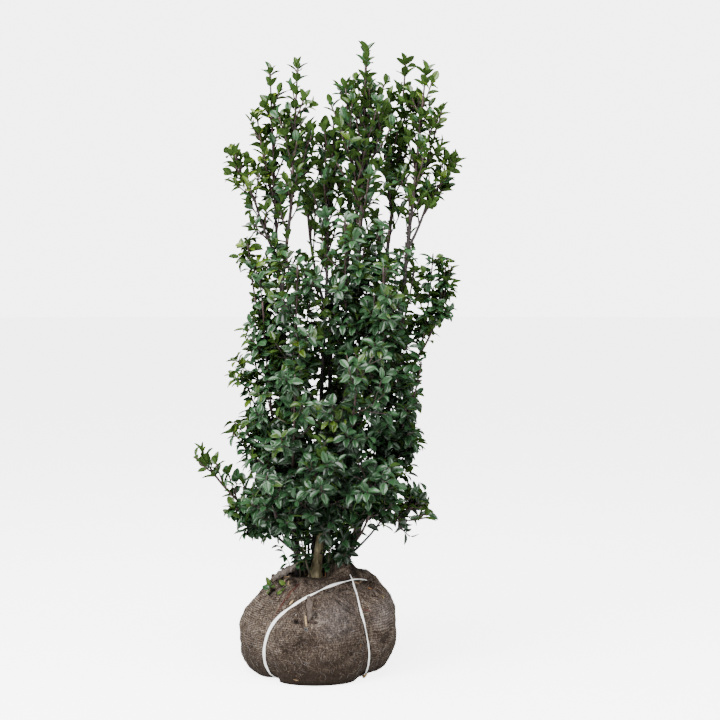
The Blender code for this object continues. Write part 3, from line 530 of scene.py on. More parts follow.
def convex_outline(flat):
    """The indices of the convex outline of points in a plane, anticlockwise, by the monotone chain."""
    order = np.lexsort((flat[:, 1], flat[:, 0]))
    kept_all = []
    for run_order in (order, order[::-1]):
        kept = []
        for i in run_order:
            while len(kept) > 1:
                a, b = flat[kept[-1]] - flat[kept[-2]], flat[i] - flat[kept[-2]]
                if a[0] * b[1] - a[1] * b[0] > 0:
                    break
                kept.pop()
            kept.append(int(i))
        kept_all += kept[:-1]
    return kept_all


def even_path(path, count):
    """The path again, at equal steps along its length."""
    run = np.concatenate([[0.0], np.cumsum(np.linalg.norm(np.diff(path, axis=0), axis=1))])
    places = np.linspace(0.0, run[-1], count)
    return np.stack([np.interp(places, run, path[:, k]) for k in range(3)], -1), run[-1]


def lay_tape(name, path, width, skin_tree, over=0.0, turn_places=(), widths=((0.0, 1.0), (1.0, 1.0))):
    """A strip with a lens-shaped section, its face to the cloth. At each turning place it rolls over along
    its length by half a turn, and narrows there."""
    path, length = even_path(path, TAPE_SECTIONS)
    ways = np.gradient(path, axis=0)
    ways /= np.linalg.norm(ways, axis=1)[:, None]
    near = [skin_tree.find_nearest(Vector(p)) for p in path]
    outs = np.array([tuple(n[1]) for n in near])
    kernel = np.ones(21) / 21
    outs = np.stack([np.convolve(np.pad(outs[:, k], 10, mode="edge"), kernel, "valid") for k in range(3)], -1)
    outs -= ways * (outs * ways).sum(1)[:, None]
    outs /= np.linalg.norm(outs, axis=1)[:, None]
    edges = np.cross(outs, ways)
    share = np.linspace(0, 1, TAPE_SECTIONS)
    roll = np.zeros(TAPE_SECTIONS)
    lean = np.zeros(TAPE_SECTIONS)
    for place, reach in turn_places:
        roll += np.pi * smooth_step((share - place) / reach + 0.5)
        lean += np.exp(-(((share - place) / reach) ** 2) * 4)
    lift = []
    for p, edge in zip(path, edges):
        gap = 0.0
        for x in (-0.5, -0.25, 0.0, 0.25, 0.5):
            spot, normal = skin_tree.find_nearest(Vector(p + edge * width * x))[:2]
            gap = max(gap, TAPE_LIFT - (p + edge * width * x - np.array(spot)) @ np.array(normal))
        lift.append(gap)
    lift = np.array(lift)
    lift = np.max([np.roll(lift, s) for s in (-3, -2, -1, 0, 1, 2, 3)], axis=0)
    lift = np.convolve(np.pad(lift, 4, mode="edge"), np.ones(9) / 9, "valid")
    lift = lift + over * np.exp(-((np.linalg.norm(path - KNOT, axis=1) / 0.018) ** 2)) + 0.35 * width * lean
    half = width / 2 * np.interp(share, *zip(*widths)) * (1 - 0.25 * lean) * (1 + 0.12 * np.sin(37 * share) * np.sin(91 * share))
    spread = np.cos(roll)[:, None] * edges + np.sin(roll)[:, None] * outs
    face = -np.sin(roll)[:, None] * edges + np.cos(roll)[:, None] * outs
    turn = 2 * np.pi * np.arange(2 * TAPE_ACROSS) / (2 * TAPE_ACROSS)
    flat, thick = np.cos(turn), np.sin(turn)
    centre_line = path + outs * lift[:, None]
    points = (
        centre_line[:, None, :]
        + spread[:, None, :] * (half[:, None] * flat)[..., None]
        + face[:, None, :] * (TAPE_THICKNESS / 2 * thick * (0.5 + 0.5 * np.abs(thick)))[None, :, None]
    )
    sides = len(turn)
    faces = ring_faces(TAPE_SECTIONS, sides)
    ends = [np.arange(sides)[None, :], (np.arange(sides) + (TAPE_SECTIONS - 1) * sides)[None, ::-1]]
    grid = np.stack(np.broadcast_arrays(np.arange(sides + 1)[None, :] / sides, share[:, None] * length * 20), -1)
    i, k = np.meshgrid(np.arange(TAPE_SECTIONS - 1), np.arange(sides), indexing="ij")
    uv = np.stack([grid[i, k], grid[i + 1, k], grid[i + 1, k + 1], grid[i, k + 1]], 2).reshape(-1, 2)
    uv = np.concatenate([uv, np.zeros((2 * sides, 2))])
    tape = mesh_piece(name, points.reshape(-1, 3), [faces, *ends], uv)
    tape.data.materials.append(white_tape)
    return tape


def seen_on(tree, across, down):
    """Where the photograph's line of sight through a pixel meets a surface, or, past its outline, the
    surface's place nearest to that line where it crosses the plane y = 0."""
    right, up = across - SIGHT_MIDDLE, SIGHT_MIDDLE - down
    tilted = SIGHT_PIXELS * math.cos(EYE_TILT) + up * math.sin(EYE_TILT)
    way = Vector((right, tilted, up * math.cos(EYE_TILT) - SIGHT_PIXELS * math.sin(EYE_TILT)))
    spot = tree.ray_cast(Vector(EYE_PLACE), way.normalized())[0]
    return np.array(spot if spot is not None else tree.find_nearest(Vector(EYE_PLACE) - way * (EYE_PLACE[1] / way.y))[0])


def front_path(route, tree, count=110, rounds=12):
    """A smooth line past the places of a route, on the cloth, that goes on down to the floor below its first
    place."""
    route = np.array(route)[:, :2]
    run = np.concatenate([[0.0], np.cumsum(np.linalg.norm(np.diff(route, axis=0), axis=1))])
    places = np.stack([np.interp(np.linspace(0, run[-1], count), run, column) for column in route.T], -1)
    for _ in range(rounds):
        places[1:-1] = (places[:-2] + 2 * places[1:-1] + places[2:]) / 4
    path = [seen_on(tree, *place) for place in places]
    out = Vector((path[0][0], path[0][1], 0.0)).normalized()
    for level in np.linspace(path[0][2], TAPE_FOOT, 7)[1:]:
        start = out * 0.4 + Vector((0.0, 0.0, level))
        path.insert(0, np.array(tree.ray_cast(start, -out)[0]))
    return np.array(path)


def measured_widths(route, path, tree):
    """The tape's width at each place of its route, as (share of the path, share of the full width)."""
    run = np.concatenate([[0.0], np.cumsum(np.linalg.norm(np.diff(path, axis=0), axis=1))])
    nearest = [int(np.linalg.norm(path - seen_on(tree, x, y), axis=1).argmin()) for x, y, _ in route]
    rows = sorted((run[k] / run[-1], width) for k, (_, _, width) in zip(nearest, route))
    return [(0.0, rows[0][1]), *rows, (1.0, 0.8)]


graph = bpy.context.evaluated_depsgraph_get()
skin_tree = BVHTree.FromObject(ball, graph)
slanting_front, upright_front = front_path(SLANTING_ROUTE, skin_tree), front_path(UPRIGHT_ROUTE, skin_tree)
slanting_back, upright_back = section_path(SLANTING_PLANE, skin_tree), section_path(BACK_PLANE, skin_tree)
slanting_front = slanting_front[:slanting_front[:, 1].argmax() + 1]
past_front = (slanting_back[:, 1] > slanting_front[-1][1] + 0.008) & (slanting_back[:, 2] < slanting_front[-1][2] - 0.003)
over = [np.array(skin_tree.ray_cast(Vector((*place, 1.0)), Vector((0, 0, -1)))[0]) for place in UPRIGHT_OVER]
slanting_path = np.concatenate([slanting_front, slanting_back[past_front]])
past_over = upright_back[upright_back[:, 1] > UPRIGHT_OVER[-1][1] + 0.012]
upright_behind = even_path(np.concatenate([over, past_over]), 60)[0]
for _ in range(14):
    upright_behind[1:-1] = (upright_behind[:-2] + 2 * upright_behind[1:-1] + upright_behind[2:]) / 4
slanting_widths = measured_widths(SLANTING_ROUTE, slanting_path, skin_tree)
upright_widths = measured_widths(UPRIGHT_ROUTE, upright_front, skin_tree)
tapes = (
    ("slanting", slanting_path, SLANTING_WIDTH, 0.0, (), slanting_widths),
    ("upright", upright_front, UPRIGHT_WIDTH, 0.0026, (), upright_widths),
    ("upright_behind", upright_behind, UPRIGHT_WIDTH, 0.0, ((0.44, 0.08),), ((0.0, 1.0), (1.0, 1.0))),
)
for name, path, width, over_knot, turn_places, widths in tapes:
    tape = lay_tape(f"tape_{name}", path, width, skin_tree, over_knot, turn_places, widths)
    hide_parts("band_slanting" if name == "slanting" else "band_upright")
    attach(tape, "root")

# Trunk, stems and boughs: living wood that rises from the cloth as one short trunk and four stems, each
# bowed outwards and then upright. The trunk is pale and fissured, and the thin stems are grey-brown.
LIMBS = (
    ("trunk", None, (-0.006, -0.016), (0.012, -0.006, 0.348), 0.40, 0.0165, 0.0125),
    ("stem_left", None, (-0.046, 0.008), (-0.082, -0.008, 0.905), 0.75, 0.0105, 0.0050),
    ("stem_right", None, (0.048, 0.006), (0.203, 0.000, 0.930), 0.80, 0.0120, 0.0052),
    ("stem_back", None, (0.002, 0.048), (0.030, 0.120, 0.860), 0.75, 0.0110, 0.0050),
    ("stem_middle", None, (-0.014, 0.028), (0.022, 0.038, 0.960), 0.50, 0.0080, 0.0040),
    ("leader_centre", "trunk", 1.00, (0.098, -0.022, 1.010), 0.75, 0.0095, 0.0045),
    ("leader_inner_right", "trunk", 0.42, (0.165, 0.066, 1.000), 0.75, 0.0085, 0.0042),
    ("bough_inner_left", "stem_left", 1.00, (-0.062, -0.012, 1.075), 0.45, 0.0046, 0.0036),
    ("bough_outer_left", "stem_left", 0.93, (-0.099, 0.014, 1.065), 0.75, 0.0040, 0.0032),
    ("bough_spray_left", "bough_outer_left", 0.55, (-0.146, -0.014, 1.100), 0.65, 0.0032, 0.0026),
    ("bough_outer_right", "stem_right", 1.00, (0.219, -0.008, 1.080), 0.45, 0.0048, 0.0038),
    ("bough_spray_right", "bough_outer_right", 0.35, (0.256, 0.006, 1.100), 0.65, 0.0034, 0.0028),
    ("bough_back_left", "stem_back", 0.94, (-0.022, 0.134, 1.010), 0.75, 0.0040, 0.0032),
    ("bough_back_right", "stem_back", 1.00, (0.084, 0.140, 1.030), 0.65, 0.0046, 0.0034),
    ("arm_left", "stem_left", 0.100, (-0.128, -0.018, 0.352), 0.65, 0.0045, 0.0036),
    ("arm_right", "stem_right", 0.080, (0.148, -0.012, 0.350), 0.60, 0.0048, 0.0038),
)
TRUNK_FLARE, FLARE_HEIGHT = 0.0085, 0.016
LIMB_RING_STEP = 0.006
SLIM = {"trunk": 0.76, "arm_right": 0.62, "arm_left": 0.75}


class Bow:
    """A quadratic curve from foot to tip whose middle control point is pulled out sideways."""

    def __init__(self, foot, tip, pull, radii):
        self.foot, self.tip = np.asarray(foot, float), np.asarray(tip, float)
        way = self.tip - self.foot
        self.control = self.foot + way * (pull, pull, 0.5 - 0.35 * (pull - 0.5))
        self.radii = radii

    def at(self, t):
        t = np.asarray(t, float)[..., None]
        return self.foot * (1 - t) ** 2 + self.control * 2 * t * (1 - t) + self.tip * t * t

    def way(self, t):
        t = np.asarray(t, float)[..., None]
        return unit((self.control - self.foot) * (1 - t) + (self.tip - self.control) * t)

    def length(self):
        return float(np.linalg.norm(np.diff(self.at(np.linspace(0, 1, 30)), axis=0), axis=1).sum())


def unit(vectors):
    return vectors / np.maximum(np.linalg.norm(vectors, axis=-1, keepdims=True), 1e-12)


def square_to(way, near):
    """Unit vectors square to way, as near as they can be to near."""
    return unit(near - way * (near * way).sum(-1, keepdims=True))


def tube_grid(points, ways, radius, sides, start_side):
    """Rings round a line: centre plus radius times cosine along one side plus sine along the other."""
    side = square_to(ways, start_side)
    other = np.cross(ways, side)
    turn = 2 * np.pi * np.arange(sides) / sides
    ring = side[:, None, :] * np.cos(turn)[None, :, None] + other[:, None, :] * np.sin(turn)[None, :, None]
    return points[:, None, :] + ring * radius[..., None], turn


def tube_faces(rings, sides):
    """Quads between the rings, and a fan on a middle point at either end."""
    body = ring_faces(rings, sides)[:, ::-1]
    k = np.arange(sides)
    after = (k + 1) % sides
    last = (rings - 1) * sides
    foot = np.stack([np.full(sides, rings * sides), after, k], -1)
    tip = np.stack([np.full(sides, rings * sides + 1), last + k, last + after], -1)
    return body, np.concatenate([foot, tip])


def bark(name, dark, mid, pale, relief):
    """Bark: lengthwise fissures and fine flecks, paler on the ridges."""
    paint = Paint(name)
    solid = paint.place()
    grain = paint.noise(paint.stretch(solid, (260.0, 260.0, 34.0)), 1.0, 4.0)
    flecks = paint.noise(solid, 420.0, 3.0)
    blotches = paint.noise(solid, 34.0, 3.0)
    tone = (grain * 0.9 + flecks * 0.35 + blotches * 0.55 - 0.42).clamp()
    colour = paint.ramp(tone, (0.10, dark), (0.50, mid), (0.95, pale))
    return paint.finish(colour, 0.78, grain * 0.8 + flecks * 0.4, relief)


trunk_bark = bark("trunk_bark", (0.045, 0.033, 0.016), (0.200, 0.165, 0.088), (0.440, 0.390, 0.260), 0.0024)
stem_bark = bark("stem_bark", (0.008, 0.006, 0.006), (0.024, 0.018, 0.017), (0.075, 0.060, 0.056), 0.0012)
shoot_bark = bark("shoot_bark", (0.012, 0.010, 0.006), (0.040, 0.032, 0.019), (0.100, 0.082, 0.050), 0.0010)


def start_on(curves, parent, share):
    return curves[parent].at(share)


limbs = {}
for number, (name, parent, place, tip, pull, foot_radius, tip_radius) in enumerate(LIMBS):
    foot = (*place, FLOOR_LEVEL - 0.004) if parent is None else start_on(limbs, parent, place)
    limb = limbs[name] = Bow(foot, tip, pull, (foot_radius, tip_radius))
    length = limb.length()
    count = max(12, int(length / LIMB_RING_STEP))
    t = np.linspace(0, 1, count)
    sides = 36 if name == "trunk" else 14
    line = limb.at(t)
    turn = 2 * np.pi * np.arange(sides) / sides
    bare = foot_radius + (tip_radius - foot_radius) * t
    if name == "trunk":
        bare = bare + TRUNK_FLARE * np.exp(-t * length / FLARE_HEIGHT)
    elif parent is None:
        bare = bare + 0.35 * foot_radius * np.exp(-t * length / 0.010)
    elif place != 1.0:
        bare = bare + 0.45 * foot_radius * np.exp(-t * length / 0.012)
    run = t * length
    swell = 1 + 0.05 * np.exp(-(((run[:, None] - np.arange(0.03, length, 0.047)) / 0.004) ** 2)).sum(1)
    twist = turn[None, :] + run[:, None] * 9.0 + number
    ridges = 0.045 * np.sin(3 * twist) + 0.030 * np.sin(7 * twist - 40 * run[:, None])
    wrinkle = np.stack(np.broadcast_arrays(np.cos(turn)[None, :] * 0.03, np.sin(turn)[None, :] * 0.03, run[:, None] * 0.45), -1)
    rough = 0.05 * ripple(wrinkle + number, 0.012, 20 + number)
    depth = 1.0 if name == "trunk" else 0.6
    slim = SLIM.get(name, 0.86 if parent is None else 1.0)
    radius = (bare * swell)[:, None] * (1 + depth * (ridges + rough)) * slim
    grid, _ = tube_grid(line, limb.way(t), radius, sides, np.array([1.0, 0.3, 0.1]))
    points = np.concatenate([grid.reshape(-1, 3), [line[0], line[-1]]])
    piece = mesh_piece(f"bark_{name}", points, list(tube_faces(count, sides)))
    piece.data.materials.append(trunk_bark if name == "trunk" else stem_bark)
    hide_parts(name)
    "trunk_bark" if name == "trunk" else "stem_bark"
    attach(piece, "root")

# Foliage: every mass is one shoot that grows on from its limb, with side twigs round it at the golden angle,
# finer twigs on those, and glossy evergreen leaves round each of them, kept within the reach of the mass.
MASSES = (
    ("crown_inner_left", "bough_inner_left", 1.0, (-0.045, -0.010, 1.422), 0.50, 0.060, 4),
    ("crown_outer_left", "bough_outer_left", 1.0, (-0.112, 0.012, 1.416), 0.50, 0.062, 4),
    ("crown_spray_left", "bough_spray_left", 1.0, (-0.200, -0.020, 1.222), 0.70, 0.062, 3),
    ("crown_middle", "stem_middle", 1.0, (0.016, 0.030, 1.290), 0.60, 0.080, 5),
    ("crown_centre", "leader_centre", 1.0, (0.112, -0.020, 1.458), 0.60, 0.085, 7),
    ("crown_inner_right", "leader_inner_right", 1.0, (0.208, 0.060, 1.446), 0.60, 0.072, 5),
    ("crown_outer_right", "bough_outer_right", 1.0, (0.252, -0.010, 1.412), 0.50, 0.068, 5),
    ("crown_spray_right", "bough_spray_right", 1.0, (0.324, 0.002, 1.208), 0.70, 0.065, 3),
    ("crown_back_left", "bough_back_left", 1.0, (-0.048, 0.150, 1.320), 0.60, 0.080, 4),
    ("crown_back_right", "bough_back_right", 1.0, (0.122, 0.162, 1.360), 0.60, 0.080, 4),
    ("upper_left", "stem_left", 0.68, (-0.168, 0.004, 1.005), 0.80, 0.080, 4),
    ("upper_front_left", "stem_left", 0.58, (-0.040, -0.128, 0.965), 0.80, 0.095, 5),
    ("upper_front", "leader_centre", 0.55, (0.064, -0.120, 1.070), 0.80, 0.090, 5),
    ("upper_front_right", "stem_right", 0.52, (0.150, -0.152, 0.960), 0.75, 0.095, 5),
    ("upper_right", "stem_right", 0.66, (0.316, -0.018, 0.955), 0.80, 0.080, 4),
    ("upper_back_right", "leader_inner_right", 0.52, (0.238, 0.168, 0.960), 0.80, 0.095, 4),
    ("upper_back", "stem_back", 0.66, (0.096, 0.212, 0.965), 0.80, 0.090, 4),
    ("upper_back_left", "stem_back", 0.54, (-0.108, 0.178, 0.985), 0.80, 0.095, 4),
    ("middle_left", "stem_left", 0.40, (-0.160, 0.030, 0.780), 0.80, 0.090, 4),
    ("middle_front_left", "stem_left", 0.34, (-0.046, -0.165, 0.720), 0.90, 0.100, 5),
    ("middle_front", "leader_centre", 0.22, (0.098, -0.192, 0.745), 0.90, 0.105, 5),
    ("middle_right", "stem_right", 0.42, (0.246, -0.090, 0.745), 0.80, 0.095, 5),
    ("middle_back_right", "stem_right", 0.32, (0.240, 0.136, 0.700), 0.80, 0.100, 4),
    ("middle_back", "stem_back", 0.34, (0.062, 0.215, 0.700), 0.80, 0.100, 4),
    ("middle_back_left", "stem_back", 0.26, (-0.135, 0.140, 0.640), 0.80, 0.100, 4),
    ("lower_arm_left", "arm_left", 1.0, (-0.284, -0.020, 0.522), 0.70, 0.062, 4),
    ("lower_skirt_left", "arm_left", 0.50, (-0.208, -0.050, 0.396), 0.50, 0.068, 4),
    ("lower_left", "stem_left", 0.22, (-0.180, 0.030, 0.590), 0.80, 0.090, 4),
    ("lower_front_left", "stem_left", 0.13, (-0.112, -0.176, 0.490), 0.90, 0.100, 5),
    ("lower_front", "trunk", 0.84, (0.018, -0.206, 0.540), 0.90, 0.105, 6),
    ("lower_front_right", "stem_right", 0.13, (0.138, -0.175, 0.500), 0.90, 0.100, 6),
    ("lower_arm_right", "arm_right", 1.0, (0.252, -0.014, 0.402), 0.70, 0.075, 5),
    ("lower_right", "stem_right", 0.22, (0.238, 0.010, 0.600), 0.75, 0.090, 5),
    ("lower_back_right", "stem_back", 0.15, (0.158, 0.176, 0.470), 0.90, 0.100, 4),
    ("lower_back_left", "stem_back", 0.10, (-0.092, 0.184, 0.450), 0.90, 0.105, 4),
)
MORE_SHOOTS = (
    ("crown_outer_left", 0.10, (-0.145, 0.000, 1.312)),
    ("crown_inner_left", 0.08, (-0.014, 0.000, 1.285)),
    ("crown_inner_left", 0.30, (-0.082, -0.030, 1.300)),
    ("crown_middle", 0.30, (0.038, 0.012, 1.300)),
    ("crown_centre", 0.16, (0.062, -0.032, 1.374)),
    ("crown_centre", 0.45, (0.126, -0.020, 1.360)),
    ("crown_centre", 0.30, (0.158, -0.036, 1.322)),
    ("crown_inner_right", 0.20, (0.168, 0.048, 1.362)),
    ("crown_inner_right", 0.40, (0.238, 0.040, 1.336)),
    ("crown_outer_right", 0.12, (0.286, -0.006, 1.315)),
    ("upper_right", 0.35, (0.270, -0.022, 0.996)),
    ("upper_right", 0.50, (0.305, -0.020, 0.985)),
    ("upper_front_right", 0.30, (0.184, -0.070, 0.995)),
    ("upper_front_right", 0.25, (0.128, -0.120, 0.900)),
    ("upper_front", 0.30, (0.112, -0.080, 1.010)),
    ("upper_left", 0.40, (-0.166, -0.020, 1.020)),
    ("upper_left", 0.20, (-0.136, -0.040, 0.930)),
    ("middle_left", 0.25, (-0.128, -0.050, 0.885)),
    ("middle_left", 0.40, (-0.176, -0.010, 0.690)),
    ("lower_left", 0.45, (-0.174, -0.012, 0.600)),
    ("lower_skirt_left", 0.50, (-0.152, -0.050, 0.322)),
    ("lower_arm_right", 0.35, (0.204, -0.030, 0.334)),
    ("upper_front", 0.25, (0.146, -0.070, 1.040)),
    ("upper_front_left", 0.30, (-0.006, -0.070, 0.930)),
)
THINNER = {
    "lower_skirt_left": 0.80, "upper_left": 0.82, "upper_right": 0.56, "middle_right": 0.62,
    "middle_back_right": 0.62, "lower_right": 0.62, "lower_back_right": 0.80, "crown_spray_left": 0.80,
    "crown_spray_right": 0.65, "crown_outer_right": 0.90, "crown_inner_left": 0.90, "upper_back_right": 0.80,
}
AIRY = ("crown", "lower_arm")
SKY_GAPS = (
    (-0.046, 1.022, 0.020, 0.040), (0.268, 1.018, 0.044, 0.044), (0.190, 1.024, 0.010, 0.046),
    (0.028, 0.682, 0.008, 0.022), (-0.112, 0.620, 0.010, 0.026), (0.302, 0.668, 0.064, 0.150),
    (-0.184, 0.870, 0.024, 0.062), (-0.258, 0.398, 0.040, 0.056), (0.116, 0.308, 0.036, 0.044),
    (-0.100, 0.272, 0.046, 0.030),
)
TRUNK_VIEW = ((-0.004, 0.250, 0.018, 0.066),)
GOLDEN_ANGLE = math.radians(137.508)
SHRUB_MIDDLE = np.array([0.05, 0.02, 0.0])
PAST_TIP, PAST_BOX = 0.012, 0.008
TRUNK_CLEARING, TRUNK_SKIRT, OUTER_SKIRT = 0.060, 0.245, 0.290
cad_low, cad_high = (np.array(corner) for corner in cad_box)

Habit = namedtuple(
    "Habit",
    "angle upturn last_twig twigs stretch fine_twigs every step flush bare lean rosette rise light twist size width "
    "bends folds twig",
)
AIRY_HABIT = Habit(
    angle=28, upturn=0.45, last_twig=0.74, twigs=2.0, stretch=1.50, fine_twigs=(0.40,), every=2, step=0.019,
    flush=1, bare=0.24, lean=(48, 34), rosette=(12, 54), rise=0.05, light=(0.78, 0.26, 0.16), twist=0.24,
    size=(0.66, 0.92), width=(1.04, 1.28), bends=(0.10, 0.40), folds=(0.25, 0.55), twig=(0.0023, 0.0013),
)
DENSE_HABIT = Habit(
    angle=52, upturn=0.72, last_twig=0.90, twigs=2.05, stretch=1.06, fine_twigs=(0.30, 0.62), every=1, step=0.021,
    flush=2, bare=0.14, lean=(78, 56), rosette=(28, 66), rise=-0.16, light=(0.50, 0.55, 0.36), twist=0.32,
    size=(0.64, 0.94), width=(0.92, 1.20), bends=(0.10, 0.50), folds=(0.20, 0.55), twig=(0.0015, 0.0010),
)
ROSETTE, ROSETTE_DEPTH, FLUSH_DEPTH = 4, 0.010, 0.005
LEADER_BARE, LEADER_STEP, LEADER_FLUSH, LEADER_LEAF = 0.10, 0.033, 3, 1.14
SIDEWAYS = 0.3
BUD_SWELL = 1.7
# Painted light: how much paler the greens of leaves on the shrub's left side are drawn, as if lit more from there.
SUNNY_LEFT = 0.20

LEAF_LENGTH = 0.038
LEAF_ROWS = np.array([0.0, 0.10, 0.22, 0.40, 0.62, 0.82, 0.94, 1.0])
LEAF_HALF_WIDTHS = np.array([0.012, 0.020, 0.132, 0.212, 0.220, 0.162, 0.086, 0.0])
LEAF_FOLD = 22


def leaf_material(name, colour, roughness=0.29, specular=0.44, relief=0.0006):
    """A leaf: a pale midrib and faint side veins along its own UV map, and mottling in its green."""
    paint = Paint(name)
    split = paint.add("ShaderNodeSeparateXYZ", {}, {"Vector": paint.place("UV")})
    along, across = split.out("X"), (split.out("Y") - 0.5).size()
    midrib = (1.0 - across * 14.0).clamp()
    veins = ((along * 52.0 - across * 42.0).sine() * 0.5 + 0.5) ** 5.0 * 0.5
    mottle = paint.noise(paint.place(), 120.0, 2.0)
    darker = tuple(c * 0.78 for c in colour)
    paler = tuple(c * 1.5 + 0.015 for c in colour)
    green = paint.blend((mottle * 2.0 - 0.5).clamp(), darker, colour)
    green = paint.blend((midrib * 0.55 + veins * 0.14).clamp(), green, paler)
    blade = across * 2.0
    height = blade * (1.0 - blade) * 4.2 + blade * 0.5 + (1.0 - midrib) * 0.4
    return paint.finish(green, roughness, height, relief, Specular_IOR_Level=specular)


# Greens from darkest to palest. In the masses they serve as shaded and lit copies of one leaf, dealt out as painted
# light and shade, and the palest also stands for fresh leaves.
LEAF_GREENS = (
    leaf_material("leaf_shade", (0.008, 0.024, 0.008)),
    leaf_material("leaf_deep", (0.017, 0.053, 0.018)),
    leaf_material("leaf_blue", (0.028, 0.078, 0.028)),
    leaf_material("leaf_mid", (0.040, 0.083, 0.012)),
    leaf_material("leaf_bright", (0.064, 0.116, 0.010)),
    leaf_material("leaf_young_and_lit", (0.100, 0.158, 0.008), roughness=0.36),
)
GREEN_STEPS = (0.06, 0.34, 0.62, 0.88, 1.20)
leaf_under = leaf_material("leaf_under", (0.046, 0.094, 0.018), roughness=0.65, specular=0.05, relief=0.0001)


def twig_material():
    """Young wood: smooth, reddish to purple-brown, greener in places."""
    paint = Paint("twig_bark")
    solid = paint.place()
    tone = paint.noise(paint.stretch(solid, (120.0, 120.0, 40.0)), 1.0, 2.0)
    stops = (0.30, (0.018, 0.009, 0.009)), (0.60, (0.050, 0.026, 0.024)), (0.80, (0.080, 0.055, 0.034))
    return paint.finish(paint.ramp(tone, *stops), 0.55, tone, 0.0004)


twig_bark = twig_material()


def leaf_shells(roots, ways, faces, lengths, widths, bends, folds, waves):
    """Many leaves at once, as closed shells. Along the midrib the leaf bends down as the square of the way
    along; across it the two halves rise in a fold, and their margins wave; the underside is one ridge below.
    A narrow stalk joins the blade to the twig."""
    n, rows = len(roots), len(LEAF_ROWS) - 2
    side = unit(np.cross(ways, faces))
    face = np.cross(side, ways)
    a = LEAF_ROWS[1:-1]
    half = LEAF_HALF_WIDTHS[1:-1] * widths[:, None]
    drop = bends[:, None] * a**2

    def spot(along, out, up):
        return roots[:, None, :] + lengths[:, None, None] * (
            ways[:, None, :] * along[..., None] + side[:, None, :] * out[..., None] + face[:, None, :] * up[..., None]
        )

    along = np.broadcast_to(a - 0.35 * drop, (n, rows))
    wave = waves[:, None] * np.sin(a * 15.0 + waves[:, None] * 90.0) * (half > 0.1)
    columns = [spot(along, half * b, folds[:, None] * abs(b) * half + wave * b - drop) for b in (-1.0, 0.0, 1.0)]
    under = spot(along, half * 0, -drop - 0.012 - 0.08 * half)
    ends_along = np.broadcast_to(np.array([-0.03, 1.0]), (n, 2)) - np.stack([0 * bends, 0.35 * bends], -1)
    ends = spot(ends_along, np.zeros((n, 2)), np.stack([0 * bends, -bends], -1))
    return np.concatenate([*columns, under, ends], axis=1)


def leaf_pattern():
    """Faces, underside flags and corner coordinates of one leaf, in the order of points of leaf_shells."""
    rows = len(LEAF_ROWS) - 2
    root, tip = 4 * rows, 4 * rows + 1
    faces, below = [], []
    for first, second, under in ((0, 1, False), (1, 2, False), (2, 3, True), (3, 0, True)):
        p, q = first * rows, second * rows
        for r in range(rows - 1):
            faces.extend([(p + r, q + r, q + r + 1), (p + r, q + r + 1, p + r + 1)])
            below.extend([under, under])
        faces.extend([(root, q, p), (tip, p + rows - 1, q + rows - 1)])
        below.extend([under, under])
    v = np.concatenate([np.full(rows, x) for x in (0.0, 0.5, 1.0, 0.5)] + [[0.5, 0.5]])
    u = np.concatenate([np.tile(LEAF_ROWS[1:-1], 4), [0.0, 1.0]])
    return np.array(faces), np.array(below), np.stack([u, v], -1)


PATTERN_FACES, PATTERN_BELOW, PATTERN_UV = leaf_pattern()
limb_lines = [(limb.at(np.linspace(0, 1, 14)), limb.radii) for limb in limbs.values()]
limb_starts = np.concatenate([line[:-1] for line, _ in limb_lines])
limb_ends = np.concatenate([line[1:] for line, _ in limb_lines])
limb_radius = np.concatenate([np.linspace(r[0], r[1], 13) for _, r in limb_lines])


def gaps_to(points, starts, ends):
    """The distance from each point to each straight run."""
    runs = ends - starts
    offsets = points[:, None, :] - starts[None]
    along = np.clip((offsets * runs).sum(-1) / (runs * runs).sum(-1), 0, 1)
    return np.linalg.norm(offsets - along[..., None] * runs, axis=-1)


def clear_of_limbs(points, gap):
    return (gaps_to(points, limb_starts, limb_ends) > limb_radius + gap).all(1)


def in_the_sky(points, edge=1.0, gaps=SKY_GAPS):
    """Which points show, from the photograph's camera, in one of the gaps where there is only sky. The edge
    is a share of each gap's size, and where it differs from point to point the gap is ragged."""
    scale = EYE_PLACE[1] / (EYE_PLACE[1] - points[:, 1])
    across = EYE_PLACE[0] + (points[:, 0] - EYE_PLACE[0]) * scale
    up = EYE_PLACE[2] + (points[:, 2] - EYE_PLACE[2]) * scale
    hidden = np.zeros(len(points), bool)
    for x, z, half_width, half_height in gaps:
        hidden |= ((across - x) / half_width) ** 2 + ((up - z) / half_height) ** 2 < edge
    return hidden


